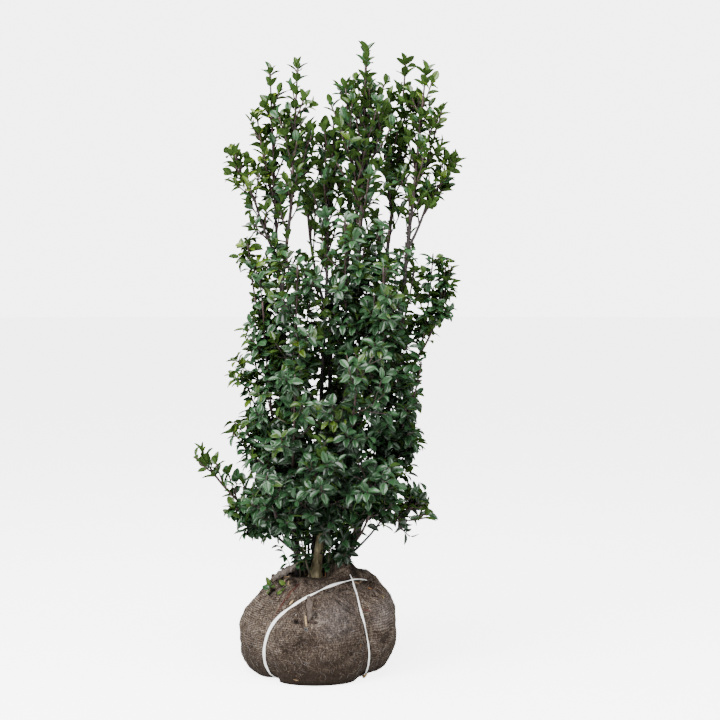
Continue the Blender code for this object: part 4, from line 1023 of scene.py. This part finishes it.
class Growth:
    """Leaves and twigs gathered axis by axis, then joined into one piece of each."""

    def __init__(self, rng):
        self.rng, self.leaves, self.twigs = rng, [], []

    def add_twig(self, axis, rings, sides, end=1.0, bud=BUD_SWELL):
        """A tube along the axis, as far as the share of it given, that ends in a bud."""
        t = np.append(np.linspace(0, 0.965, rings - 1), 1.0) * end
        radius = axis.radii[0] + (axis.radii[1] - axis.radii[0]) * t
        radius[-2] *= bud
        grid, _ = tube_grid(axis.at(t), axis.way(t), np.repeat(radius[:, None], sides, 1), sides, np.array([1.0, 0.3, 0.1]))
        points = np.concatenate([grid.reshape(-1, 3), axis.at(t[[0, -1]])])
        self.twigs.append((points, *tube_faces(rings, sides)))

    def add_leaves(self, keep, *values):
        self.leaves.append([value[keep] for value in values])

    def twig_piece(self, name, bark):
        firsts = np.cumsum([0] + [len(points) for points, *_ in self.twigs])
        faces = [np.concatenate([twig[k] + first for twig, first in zip(self.twigs, firsts)]) for k in (1, 2)]
        made = mesh_piece(name, np.concatenate([points for points, *_ in self.twigs]), faces)
        made.data.materials.append(bark)
        return made

    def leaf_piece(self, name, widths=(0.85, 1.15), bends=(0.10, 0.50), folds=(0.15, 0.55)):
        roots, ways, faces, sizes, greens = (np.concatenate(rows) for rows in zip(*self.leaves))
        count = len(roots)
        shapes = [self.rng.uniform(*limits, count) for limits in (widths, bends, folds, (0.0, 0.007))]
        points = leaf_shells(roots, ways, faces, sizes, *shapes)
        offsets = np.arange(count)[:, None, None] * points.shape[1]
        indices = np.where(PATTERN_BELOW[None], len(LEAF_GREENS), greens[:, None]).ravel()
        uvs = np.tile(PATTERN_UV[PATTERN_FACES.ravel()], (count, 1))
        made = mesh_piece(
            name, points.reshape(-1, 3), (PATTERN_FACES[None] + offsets).reshape(-1, 3), uvs, indices, LEAF_FOLD
        )
        for surface in (*LEAF_GREENS, leaf_under):
            made.data.materials.append(surface)
        return made


def leaves_round(axis, length, habit, leader, rng):
    """Roots, ways, faces and places along the axis of the leaves round one shoot or twig, a golden angle
    apart: flushes at even steps, and a rosette round its tip. They lean out more at its foot than at its tip,
    and their upper faces look along it, to the sky and out of the shrub."""
    step, flush, bare = habit.step, habit.flush, habit.bare
    if leader:
        step, flush, bare = LEADER_STEP, LEADER_FLUSH, LEADER_BARE
    nodes = np.linspace(bare, 1, max(1, round(length * (1 - bare) / step)), endpoint=False)
    along = np.repeat(nodes, flush) + rng.uniform(-0.5, 0.5, len(nodes) * flush) * FLUSH_DEPTH / length
    rosette = ROSETTE + 2 * leader
    along = np.concatenate([along, 1 - np.linspace(1, 0, rosette) * ROSETTE_DEPTH / length])
    count = len(along)
    ways = axis.way(along)
    side = square_to(ways, np.array([1.0, 0.2, 0.05]))
    other = np.cross(ways, side)
    azimuth = rng.uniform(0, 7) + GOLDEN_ANGLE * np.arange(count) + rng.normal(0, 0.22, count)
    out = side * np.cos(azimuth)[:, None] + other * np.sin(azimuth)[:, None]
    lean = habit.lean[0] + (habit.lean[1] - habit.lean[0]) * along
    lean[-rosette:] = np.linspace(habit.rosette[1], habit.rosette[0], rosette)
    lean = np.radians(lean + rng.normal(0, 8, count))[:, None]
    leaf_way = unit(ways * np.cos(lean) + out * np.sin(lean) + np.array([0, 0, habit.rise]))
    roots = axis.at(along)
    from_middle = unit((roots - SHRUB_MIDDLE) * (SIDEWAYS, 1.0, 0.0))
    to_way, to_sky, to_side = habit.light
    light = ways * to_way + np.array([0, 0, to_sky]) + from_middle * to_side + rng.normal(0, habit.twist, (count, 3))
    return roots, leaf_way, square_to(leaf_way, light), along


def twig_from(bearer, t, side, angle, length, rise, radii):
    """A side twig: it leaves its bearer at the angle given and bends upwards as it grows."""
    foot, way = bearer.at(t), bearer.way(t)
    first_way = way * math.cos(angle) + side * math.sin(angle)
    last_way = unit(first_way + np.array([0, 0, rise]))
    twig = Bow(foot, foot + unit(first_way + last_way) * length, 0.5, radii)
    twig.control = foot + first_way * length * 0.5
    return twig


def turned_side(way, near, azimuth):
    """The side of a way that is turned by the azimuth from the side nearest to near."""
    side = square_to(way, np.array(near))
    return side * math.cos(azimuth) + np.cross(way, side) * math.sin(azimuth)


def grow_axes(shoots, limb, inner, reach, twigs, habit, rng):
    """All axes of one mass: its shoots, side twigs on them at the golden angle, and finer twigs on those. The
    limb that it grows on has twigs too, at the places given. Each is (curve, length, rank)."""
    axes = [(shoot, shoot.length(), 0) for shoot in shoots]
    azimuth = rng.uniform(0, 2 * np.pi)
    places = []
    for shoot in shoots:
        share = shoot.length() / shoots[0].length()
        places += [(shoot, t) for t in np.linspace(0.04, habit.last_twig, int(twigs * share * habit.twigs))]
    places += [(limb, t) for t in inner]
    for k, (bearer, t) in enumerate(places):
        azimuth += GOLDEN_ANGLE
        side = turned_side(bearer.way(t), (1.0, 0.2, 0.0), azimuth)
        taper = 1 - 0.4 * t if bearer is not limb else 0.9
        length = (reach * 1.12 - LEAF_LENGTH * 0.35) * taper * rng.uniform(0.65, 1.15) * habit.stretch
        angle = math.radians(habit.angle) * rng.uniform(0.8, 1.2)
        twig = twig_from(bearer, t, side, angle, length, habit.upturn, habit.twig)
        axes.append((twig, length, 1))
        for share in habit.fine_twigs if k % habit.every == 0 else ():
            side = turned_side(twig.way(share), (0.2, 1.0, 0.1), rng.uniform(0, 2 * np.pi))
            fine_length = length * rng.uniform(0.40, 0.62)
            fine = twig_from(twig, share, side, math.radians(42), fine_length, 0.25, (habit.twig[0] * 0.75, 0.0008))
            axes.append((fine, fine_length, 2))
    return axes


def shoot_to(foot, tip, pull, radii):
    """A shoot whose topmost leaf, not its wood, reaches the tip."""
    foot, tip = np.array(foot), np.array(tip)
    return Bow(foot, tip - unit(tip - foot) * LEAF_LENGTH * 0.62, pull, radii)


leaf_total = 0
for number, (name, limb_name, share, tip, pull, reach, twigs) in enumerate(MASSES):
    rng = np.random.default_rng(700 + number)
    habit = AIRY_HABIT if name.startswith(AIRY) else DENSE_HABIT
    limb = limbs[limb_name]
    foot, tip = limb.at(share), np.array(tip)
    shoot = shoot_to(foot, tip, pull, (limb.radii[1] * 1.2 if share == 1.0 else 0.0038, 0.0020))
    shoots = [shoot]
    for mass, start, other_tip in MORE_SHOOTS:
        if mass == name:
            shoots.append(shoot_to(shoot.at(start), other_tip, 0.72, (0.0028, 0.0015)))
    below, above = (0.24, 0.0) if habit is AIRY_HABIT else (0.16, 0.10)
    inner = np.linspace(max(0.04, share - below / limb.length()), min(0.97, share + above / limb.length()), 7)
    inner = inner[limb.at(inner)[:, 2] > 0.33]
    growth = Growth(rng)
    own_line, limb_line = shoot.at(np.linspace(0, 1, 14)), limb.at(np.linspace(0, 1, 14))
    starts, ends = np.concatenate([own_line[:-1], limb_line[:-1]]), np.concatenate([own_line[1:], limb_line[1:]])
    for axis, length, rank in grow_axes(shoots, limb, inner, reach * THINNER.get(name, 1.0), twigs, habit, rng):
        if rank and in_the_sky(axis.at(np.array([0.5, 1.0]))).any():
            continue
        roots, ways, faces, along = leaves_round(axis, length, habit, rank == 0 and habit is AIRY_HABIT, rng)
        count = len(along)
        size = LEAF_LENGTH * rng.uniform(*habit.size, count) * (LEADER_LEAF if rank == 0 else 1.0)
        tips, middles = roots + ways * size[:, None], roots + ways * size[:, None] * 0.55
        clear = clear_of_limbs(middles, 0.005) & clear_of_limbs(tips, 0.004)
        clear &= gaps_to(tips, starts, ends).min(1) < reach * 1.10
        clear &= (tips - tip) @ unit(tip - foot) < PAST_TIP
        clear &= ((tips > cad_low - PAST_BOX) & (tips < cad_high + PAST_BOX)).all(1)
        clear &= ~in_the_sky(middles, rng.uniform(0.4, 1.3, count)) & ~in_the_sky(tips, rng.uniform(0.4, 1.2, count))
        clear &= ~(in_the_sky(middles, 1.0, TRUNK_VIEW) & (middles[:, 1] < 0.0))
        clear &= tips[:, 2] > np.where(np.abs(tips[:, 0] - 0.012) < TRUNK_CLEARING, TRUNK_SKIRT, OUTER_SKIRT)
        outer = np.hypot(roots[:, 0] - SHRUB_MIDDLE[0], roots[:, 1]) / 0.25
        young = 0.45 * (rng.uniform() < 0.05)
        # Painted light and shade: leaves take paler greens the higher they grow, the further out of the shrub they are,
        # the nearer their twig's tip and on the left side, and darker ones inside and low down. The random tone and the
        # few fresh sprays are their own colour.
        light = 0.66 * (roots[:, 2] - 0.62) + 0.52 * outer - 0.16 + rng.normal(young, 0.10) + rng.normal(0, 0.14, count)
        light = light + SUNNY_LEFT * smooth_step((-0.10 - roots[:, 0]) / 0.06)
        greens = np.digitize(light + 0.26 * (along - 0.6), GREEN_STEPS)
        growth.add_leaves(clear, roots, ways, faces, size, greens)
        if rank == 0:
            growth.add_twig(axis, max(4, int(length / 0.012)), 6)
        elif clear.sum() > 1:
            growth.add_twig(axis, 5, 4, min(1.0, along[clear].max() + 0.02))
        leaf_total += int(clear.sum())
    leaves = growth.leaf_piece(f"leaves_{name}", habit.width, habit.bends, habit.folds)
    for piece in (leaves, growth.twig_piece(f"twigs_{name}", twig_bark)):
        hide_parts(name)
        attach(piece, "root")

# Foot shoots: thin young shoots that crowd round the trunk and rise from the cloth among the stems, with
# small leaves mostly in the darker greens, as painted shade. A few are placed where the photograph shows them, one a
# short sprig that leans out left.
FOOT_SHOOTS, FOOT_RING = 30, (0.028, 0.052)
PLACED_SHOOTS = (
    ((-0.058, -0.016), (-0.089, -0.026, 0.292), 0.0014, 0.92),
    ((-0.030, -0.036), (-0.034, -0.052, 0.276), 0.0014, 0.80),
    ((-0.040, -0.030), (-0.052, -0.046, 0.288), 0.0014, 0.80),
    ((0.024, -0.034), (0.028, -0.054, 0.292), 0.0016, 1.00),
    ((0.036, -0.030), (0.046, -0.052, 0.276), 0.0016, 1.00),
    ((0.034, -0.030), (0.026, -0.048, 0.262), 0.0012, 0.90),
    ((0.056, -0.006), (0.072, -0.040, 0.306), 0.0018, 1.00),
    ((0.048, -0.010), (0.056, -0.036, 0.290), 0.0018, 0.95),
)
FOOT_HABIT = DENSE_HABIT._replace(step=0.018, bare=0.12, lean=(78, 50), rosette=(20, 56), rise=-0.10)
rng = np.random.default_rng(640)
growth = Growth(rng)
shoots = []
for place, tip, radius, scale in PLACED_SHOOTS:
    shoots.append((Bow((*place, FLOOR_LEVEL + 0.006), tip, 0.40, (radius, radius * 0.6)), scale))
for k in range(FOOT_SHOOTS):
    azimuth = k * GOLDEN_ANGLE + rng.normal(0, 0.2)
    out = np.array([math.cos(azimuth), math.sin(azimuth), 0.0])
    foot = out * rng.uniform(*FOOT_RING) * (1.2, 1.0, 0) + (0.006, 0.006, FLOOR_LEVEL - 0.006)
    tip = foot + out * rng.uniform(0.000, 0.036) + (rng.normal(0, 0.012), rng.normal(0, 0.012), rng.uniform(0.08, 0.24))
    radius = rng.uniform(0.0012, 0.0030)
    shoot = Bow(foot, tip, rng.uniform(0.35, 0.75), (radius, radius * 0.55))
    if clear_of_limbs(shoot.at(np.linspace(0, 1, 8)), radius).all():
        shoots.append((shoot, 0.95))
for axis, scale in shoots:
    roots, ways, faces, along = leaves_round(axis, axis.length(), FOOT_HABIT, False, rng)
    size = LEAF_LENGTH * scale * rng.uniform(0.55, 0.95, len(along))
    tips = roots + ways * size[:, None]
    # Painted shade: leaves low among the stems take mostly the darker greens.
    greens = np.clip(np.digitize(rng.normal(0.20, 0.20, len(along)), GREEN_STEPS), 0, 4)
    clear = clear_of_limbs(tips, 0.004) & (tips[:, 2] > 0.246)
    clear &= ~(in_the_sky((roots + tips) / 2, 1.0, TRUNK_VIEW) & (roots[:, 1] < 0.0))
    growth.add_leaves(clear, roots, ways, faces, size, greens)
    if not (in_the_sky(axis.at(np.linspace(0.2, 1, 6)), 1.0, TRUNK_VIEW) & (axis.at(np.linspace(0.2, 1, 6))[:, 1] < 0.0)).any():
        growth.add_twig(axis, 12, 7)
for piece in (growth.leaf_piece("leaves_foot_shoots"), growth.twig_piece("bark_foot_shoots", shoot_bark)):
    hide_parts("lower_front")
    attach(piece, "root")

# Sprout: a small side shoot with fresh broad leaves that has pushed through the cloth on the ball's left
# shoulder, and a second sprig of three leaves beside it.
SPROUTS = (
    ((270.4, 589.6), (-0.25, -0.35, 1.0), 0.008, 0.025),
    ((283.5, 589.0), (-0.45, -0.70, -0.60), 0.004, 0.019),
)
SPROUT_HABIT = DENSE_HABIT._replace(step=0.008, bare=0.30, lean=(84, 64), rosette=(20, 74), rise=0.15)
growth = Growth(np.random.default_rng(77))
for place, lean, length, leaf in SPROUTS:
    spot, way = seen_on(skin_tree, *place), unit(np.array(lean))
    stem = Bow(spot - way * 0.003, spot + way * length, 0.5, (0.0016, 0.0011))
    roots, ways, faces, along = leaves_round(stem, length, SPROUT_HABIT, False, growth.rng)
    count = len(along)
    sizes = leaf * growth.rng.uniform(0.75, 1.15, count)
    growth.add_leaves(np.ones(count, bool), roots, ways, faces, sizes, 2 + np.arange(count) % 3)
    growth.add_twig(stem, 8, 8)
for piece in (growth.leaf_piece("sprout_leaves", (1.0, 1.3)), growth.twig_piece("sprout_stem", twig_bark)):
    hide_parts("sprout")
    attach(piece, "root")

# Litter: what clings to the cloth. Dry slivers of leaf and bark, two red root threads, a twisted tail of
# jute with a small wire ring below it, and a fuzz of loose fibres. All lie where the photograph shows them.
SLIVERS = (
    (291.5, 603.2, 0.015, 0.7, 4, 0.75), (285.5, 584.5, 0.022, 1.75, 4, 0.42), (288.5, 585, 0.020, 1.5, 1, 0.36),
    (306.4, 622, 0.026, 1.6, 4, 0.36), (312.4, 607, 0.027, -1.15, 1, 0.30), (306, 575, 0.013, 1.4, 4, 0.6),
    (296, 615.5, 0.005, 0.3, 5, 0.8), (321, 571, 0.026, 1.5, 2, 0.3), (325, 577, 0.020, 0.5, 1, 0.14),
    (284.5, 577.5, 0.014, 1.2, 1, 0.5), (276.5, 574.5, 0.010, 0.3, 5, 0.5), (294, 573.5, 0.020, 0.9, 3, 0.3), (363.5, 580, 0.015, 0.1, 2, 0.3),
    (356, 583, 0.016, -0.3, 1, 0.3), (370, 589, 0.016, -0.6, 2, 0.4), (382.5, 597, 0.012, -0.5, 0, 0.6),
     (296, 680, 0.016, -0.2, 1, 0.25), (360.5, 645, 0.005, 0.3, 2, 0.9),
    (282, 574, 0.034, 0.6, 3, 0.8), (291, 571, 0.030, 1.1, 3, 0.8), (277, 579, 0.032, 0.3, 3, 0.8),
    (288, 580, 0.030, -0.6, 3, 0.7), (306, 575, 0.012, 0.4, 1, 0.7), 
    (281, 577, 0.016, 1.2, 1, 0.4), (287, 577, 0.014, 0.2, 1, 0.5), (342, 571, 0.024, 0.5, 3, 0.7),
    (337, 573, 0.020, -0.4, 3, 0.7), (360, 582, 0.010, 0.5, 1, 0.4), (326, 575, 0.014, 1.4, 2, 0.5),
    (302, 571, 0.018, 0.9, 3, 0.5), (347, 567, 0.022, 0.9, 3, 0.6), (330, 579, 0.018, 0.0, 3, 0.6),
)
SLIVER_COLOURS = (
    (0.42, 0.33, 0.11), (0.30, 0.20, 0.11), (0.36, 0.17, 0.07), (0.15, 0.115, 0.085), (0.52, 0.37, 0.20), (0.44, 0.41, 0.37),
)
STRAW_ROUTE = ((354.6, 681.0), (357.5, 678.8), (360.5, 676.6), (363.5, 674.4), (366.6, 671.4))
STRAW_RADIUS, STRAW_BEFORE, STRAW_RINGS = 0.0034, 0.014, 16
FLAP_ROUTE = (
    (272.6, 578.6, 0.0062), (275.5, 576.6, 0.0074), (279.0, 575.0, 0.0080), (283.0, 573.2, 0.0078), (287.0, 571.2, 0.0074),
    (291.0, 568.9, 0.0072), (295.0, 566.0, 0.0064), (299.0, 562.6, 0.0050),
)
FLAP_FROM_VIEWER, FLAP_RINGS, FLAP_SIDES = -0.030, 96, 30
ROOT_THREADS = (
    ((299, 583), (289, 594), (280, 607), (273, 619)),
    ((301, 584), (292, 592), (283, 604), (278, 612)),
    ((362.6, 609), (367, 610.5), (371.6, 611)),
)
FIBRES, FIBRE_RINGS, FIBRE_SIDES, FIBRE_RADIUS = 2200, 5, 3, 0.00030
TAIL_ROUTE = (
    (308.0, 597.0), (309.0, 603.0), (309.6, 610.0), (309.6, 616.0), (308.0, 621.5),
)
RING_PLACE, RING_RADIUS, WIRE_RADIUS = (306.4, 629.4), 0.0032, 0.0008


def plain(name, colour, roughness=0.8):
    paint = Paint(name)
    mottle = paint.noise(paint.place(), 260.0, 2.0)
    shade = tuple(c * 0.45 for c in colour)
    return paint.finish(paint.blend((mottle * 2.2 - 0.6).clamp(), shade, colour), roughness, Specular_IOR_Level=0.15)


def clinging(tree, points, lift):
    """The points brought down on a surface, and lifted from it by so much."""
    near = [tree.find_nearest(Vector(p))[:2] for p in points]
    return np.array([np.array(spot) + np.array(normal) * up for (spot, normal), up in zip(near, lift)])


def tubes(name, lines, radii, sides, surfaces, indices=None):
    """One piece from many lines of points, each with a tube of its own radii round it."""
    points, bodies, ends, kinds, first = [], [], [], [], 0
    for number, (line, radius) in enumerate(zip(lines, radii)):
        ways = unit(np.gradient(line, axis=0))
        grid, _ = tube_grid(line, ways, np.repeat(radius[:, None], sides, 1), sides, np.array([0.31, 0.23, 0.92]))
        body, end = tube_faces(len(line), sides)
        points.append(np.concatenate([grid.reshape(-1, 3), [line[0], line[-1]]]))
        bodies.append(body + first)
        ends.append(end + first)
        first += len(points[-1])
        kinds.append(0 if indices is None else indices[number])
    slots = np.concatenate([np.repeat(kinds, len(bodies[0])), np.repeat(kinds, len(ends[0]))]) if indices is not None else None
    made = mesh_piece(name, np.concatenate(points), [np.concatenate(bodies), np.concatenate(ends)], None, slots)
    for surface in surfaces:
        made.data.materials.append(surface)
    return made


rng = np.random.default_rng(910)
spots = np.array([seen_on(skin_tree, x, z) for x, z, *_ in SLIVERS])
outs = np.array([skin_tree.find_nearest(Vector(p))[1] for p in spots])
outs = unit(np.stack([outs[:, 0], outs[:, 1], np.maximum(outs[:, 2], 0.0)], -1))
rights = square_to(outs, np.array([1.0, 0.0, 0.0]))
ups = np.cross(outs, rights)
lengths, turns, kinds, widths = (np.array([row[k] for row in SLIVERS]) for k in (2, 3, 4, 5))
ways = unit(rights * np.cos(turns)[:, None] + ups * np.sin(turns)[:, None] + outs * 0.12)
roots = spots - ways * lengths[:, None] / 2 + outs * 0.0016
bends, folds = rng.uniform(-0.15, 0.20, len(SLIVERS)), rng.uniform(0.3, 0.9, len(SLIVERS))
points = leaf_shells(roots, ways, square_to(ways, outs), lengths, widths, bends, folds, np.full(len(SLIVERS), 0.03))
points[..., 2] = np.maximum(points[..., 2], TAPE_THICKNESS)
offsets = np.arange(len(SLIVERS))[:, None, None] * points.shape[1]
slots = np.repeat(kinds, len(PATTERN_FACES))
slivers = mesh_piece("dry_slivers", points.reshape(-1, 3), (PATTERN_FACES[None] + offsets).reshape(-1, 3), None, slots, 30)
for number, colour in enumerate(SLIVER_COLOURS):
    slivers.data.materials.append(plain(f"dry_{number}", colour))

threads = []
for route in ROOT_THREADS:
    route = even_path(np.insert(np.array(route, float), 1, 0.0, axis=1), 30)[0][:, ::2]
    line = np.array([seen_on(skin_tree, *place) for place in route])
    threads.append(clinging(skin_tree, line + 0.0022 * ripple(line, 0.02, 41)[:, None] * (1, 0, 1), np.full(30, 0.0007)))
thread_radii = [np.linspace(0.0007, 0.0004, 30)] * len(threads)
red_roots = tubes("root_threads", threads, thread_radii, 6, [plain("red_root", (0.110, 0.022, 0.014), 0.5)])

along = np.linspace(-1, 1, FIBRE_RINGS)
lines = []
for k in range(FIBRES):
    turn, tilt = rng.uniform(0, 2 * np.pi), math.asin(rng.uniform(-0.42, 0.80))
    way = Vector((math.cos(turn) * math.cos(tilt), math.sin(turn) * math.cos(tilt), math.sin(tilt)))
    middle, out, *_ = skin_tree.ray_cast(Vector((0.0, 0.0, BALL_WAIST)) + way, -way)
    right = square_to(np.array(out), rng.normal(size=3))
    bow = np.cross(np.array(out), right) * rng.normal(0, 0.22)
    half = rng.uniform(0.003, 0.009)
    line = np.array(middle) + half * (along[:, None] * right + (1 - along[:, None] ** 2) * bow)
    lines.append(clinging(skin_tree, line, 0.0003 + rng.uniform(0.0, 0.0012) * along**2))
fibre_radii = [FIBRE_RADIUS * (1.15 - 0.5 * along**2)] * FIBRES
fibre_colours = [plain("fibre_tan", (0.190, 0.140, 0.100)), plain("fibre_grey", (0.230, 0.205, 0.195))]
fibres = tubes("loose_fibres", lines, fibre_radii, FIBRE_SIDES, fibre_colours, (rng.uniform(size=FIBRES) > 0.6).astype(int))

route = even_path(np.insert(np.array(TAIL_ROUTE), 1, 0.0, axis=1), 40)[0][:, ::2]
line = clinging(skin_tree, np.array([seen_on(skin_tree, *place) for place in route]), 0.0015 + 0.0030 * np.sin(np.linspace(0, np.pi, 40)))
share = np.linspace(0, 1, 40)
turn = 2 * np.pi * np.arange(14) / 14
fluted = 1 + 0.40 * np.sin(3 * (turn[None, :] + 5.0 * share[:, None])) + 0.22 * np.sin(5 * turn[None, :] - 19 * share[:, None])
girth = np.interp(share, (0.0, 0.25, 0.45, 0.8, 1.0), (0.0030, 0.0058, 0.0064, 0.0050, 0.0016))
grid, _ = tube_grid(line, unit(np.gradient(line, axis=0)), girth[:, None] * fluted, 14, np.array([1.0, 0.0, 0.2]))
tail = mesh_piece("jute_tail", np.concatenate([grid.reshape(-1, 3), [line[0], line[-1]]]), list(tube_faces(40, 14)))
tail.data.materials.append(plain("jute_tail", (0.105, 0.082, 0.068)))

share = np.linspace(0, 1, STRAW_RINGS)
route = even_path(np.insert(np.array(STRAW_ROUTE), 1, 0.0, axis=1), STRAW_RINGS)[0][:, ::2]
line = clinging(skin_tree, np.array([seen_on(skin_tree, *place) for place in route]), np.full(STRAW_RINGS, 0.0024))
line[:, 1] -= STRAW_BEFORE
line[:, 2] = np.maximum(line[:, 2], STRAW_RADIUS * 1.2)
straw_radii = [STRAW_RADIUS * (0.35 + 0.65 * np.sin(np.pi * share)) * (1 + 0.25 * np.sin(9 * share))]
straw = tubes("foot_straw", [line], straw_radii, 8, [plain("foot_straw", (0.50, 0.33, 0.17))])

share = np.linspace(0, 1, FLAP_RINGS)
route = np.array(FLAP_ROUTE)
across, down, half_height = (np.interp(share * (len(route) - 1), np.arange(len(route)), column) for column in route.T)
up = SIGHT_MIDDLE - down
tilted = SIGHT_PIXELS * math.cos(EYE_TILT) + up * math.sin(EYE_TILT)
sights = np.stack([across - SIGHT_MIDDLE, tilted, up * math.cos(EYE_TILT) - SIGHT_PIXELS * math.sin(EYE_TILT)], -1)
line = EYE_PLACE + sights * ((FLAP_FROM_VIEWER - EYE_PLACE[1]) / sights[:, 1:2])
turn = 2 * np.pi * np.arange(FLAP_SIDES) / FLAP_SIDES
above, before = np.array([-0.3, 0.0, 0.95]), np.array([-0.2, -0.98, 0.0])
ring = above * np.cos(turn)[:, None] + before * 0.62 * np.sin(turn)[:, None]
ends = np.sin(np.pi * np.clip(share, 0.03, 0.97)) ** 0.35
folded = line[:, None] + ring * (half_height * ends)[:, None, None]
rumple = 1 + 0.26 * ripple(folded, 0.012, 51) + 0.16 * ripple(folded, 0.005, 52)
folded = line[:, None] + (folded - line[:, None]) * rumple[..., None]
grid = np.stack(np.broadcast_arrays(turn[None, :] * 0.006, share[:, None] * 0.09), -1)
body, caps = tube_faces(FLAP_RINGS, FLAP_SIDES)
flap_uv = np.concatenate([grid.reshape(-1, 2), [[0.0, 0.0], [0.0, 0.09]]])
flap_uv = np.concatenate([flap_uv[body].reshape(-1, 2), flap_uv[caps].reshape(-1, 2)])
flap = mesh_piece("cloth_flap", np.concatenate([folded.reshape(-1, 3), [line[0], line[-1]]]), [body, caps], flap_uv)
flap.data.materials.append(plain("jute_torn", (0.190, 0.158, 0.138)))

centre = seen_on(skin_tree, *RING_PLACE)
out = np.array(skin_tree.find_nearest(Vector(centre))[1])
right = square_to(out, np.array([1.0, 0.0, 0.0]))
turn = 2 * np.pi * np.arange(28)[:, None] / 28
round_way = right * np.cos(turn) + np.cross(out, right) * np.sin(turn)
middles = centre + out * 0.0012 + round_way * RING_RADIUS
turn = 2 * np.pi * np.arange(8)[None, :, None] / 8
wire = middles[:, None] + WIRE_RADIUS * (round_way[:, None] * np.cos(turn) + out * np.sin(turn))
closed = np.concatenate([wire, wire[:1]])
i, k = np.meshgrid(np.arange(28), np.arange(8), indexing="ij")
corners = [(i % 28) * 8 + k, ((i + 1) % 28) * 8 + k, ((i + 1) % 28) * 8 + (k + 1) % 8, (i % 28) * 8 + (k + 1) % 8]
ring = mesh_piece("wire_ring", wire.reshape(-1, 3), np.stack(corners, -1).reshape(-1, 4))
ring.data.materials.append(plain("ring_wire", (0.13, 0.135, 0.14), 0.35))
for piece in (slivers, red_roots, fibres, tail, straw, flap, ring):
    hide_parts("root_ball")
    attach(piece, "root")

# Studio: a plain pale floor, soft light from large panels, and the camera at the photograph's place.
FLOOR_SIZE, PAPER_GLOW, DOME_GLOW, ROOM_LIGHT = 60.0, 4.8, 5.4, 0.07
turn = 2 * np.pi * np.arange(96) / 96
rim = np.stack([np.cos(turn), np.sin(turn), 0 * turn], -1) * FLOOR_SIZE
floor_points = np.concatenate([rim, [[0.0, 0.0, 0.0]]])
floor_faces = np.stack([np.arange(96), (np.arange(96) + 1) % 96, np.full(96, 96)], -1)


def seen_only_by_camera(obj):
    """A backdrop that shows behind the shrub but neither lights it nor shades it."""
    obj.visible_diffuse = obj.visible_glossy = obj.visible_transmission = obj.visible_shadow = False


def pale_surface(name, colour, glow):
    paint = Paint(name)
    inputs = {"Specular_IOR_Level": 0.0, "Emission_Color": (1.0, 1.0, 1.0), "Emission_Strength": glow}
    return paint.finish(colour, 1.0, **inputs)


floor = mesh_piece("studio_floor", floor_points - (0, 0, 0.0010), floor_faces)
floor.data.materials.append(pale_surface("floor_grey", (0.70, 0.70, 0.70), 0.0))
floor.visible_camera = False
paper = mesh_piece("studio_paper", floor_points - (0, 0, 0.0005), floor_faces)
paper.data.materials.append(pale_surface("white_paper", (0.80, 0.80, 0.80), PAPER_GLOW))
seen_only_by_camera(paper)
fall, round_turn = np.meshgrid(np.linspace(-0.05, np.pi / 2, 24), turn, indexing="ij")
dome_points = FLOOR_SIZE * np.stack([np.cos(fall) * np.cos(round_turn), np.cos(fall) * np.sin(round_turn), np.sin(fall)], -1)
dome = mesh_piece("studio_dome", dome_points.reshape(-1, 3), ring_faces(24, 96))
dome.data.materials.append(pale_surface("white_dome", (0.0, 0.0, 0.0), DOME_GLOW))
seen_only_by_camera(dome)
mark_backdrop(floor, paper, dome)
world = bpy.data.worlds.new("studio")
world.use_nodes = True
world.node_tree.nodes["Background"].inputs["Color"].default_value = (0.93, 0.97, 1.0, 1.0)
world.node_tree.nodes["Background"].inputs["Strength"].default_value = ROOM_LIGHT
bpy.context.scene.world = world


def panel(name, place, aim, size, power):
    light = bpy.data.lights.new(name, "AREA")
    light.shape, light.size, light.energy = "SQUARE", size, power
    lamp = bpy.data.objects.new(name, light)
    lamp.location = place
    lamp.rotation_euler = (Vector(aim) - Vector(place)).to_track_quat("-Z", "Y").to_euler()
    bpy.context.scene.collection.objects.link(lamp)


panel("panel_top", (-0.5, -1.3, 3.3), (0.05, 0.0, 0.7), 3.2, 390.0)
panel("panel_left", (-2.6, -2.4, 2.2), (0.05, 0.0, 0.7), 2.0, 170.0)
panel("panel_right", (2.8, -1.8, 2.0), (0.05, 0.0, 0.7), 2.0, 95.0)
lens = bpy.data.cameras.new("photo_camera")
lens.lens, lens.sensor_width = 68.55, 36.0
camera = bpy.data.objects.new("photo_camera", lens)
camera.location = (0.098, -3.2, 0.87)
camera.rotation_euler = (Vector((0.098, 0.0, 0.725)) - camera.location).to_track_quat("-Z", "Y").to_euler()
bpy.context.scene.collection.objects.link(camera)
bpy.context.scene.camera = camera

visual_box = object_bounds()
sizes = {"cad": [list(map(float, c)) for c in cad_box], "visual": [list(map(float, c)) for c in visual_box]}
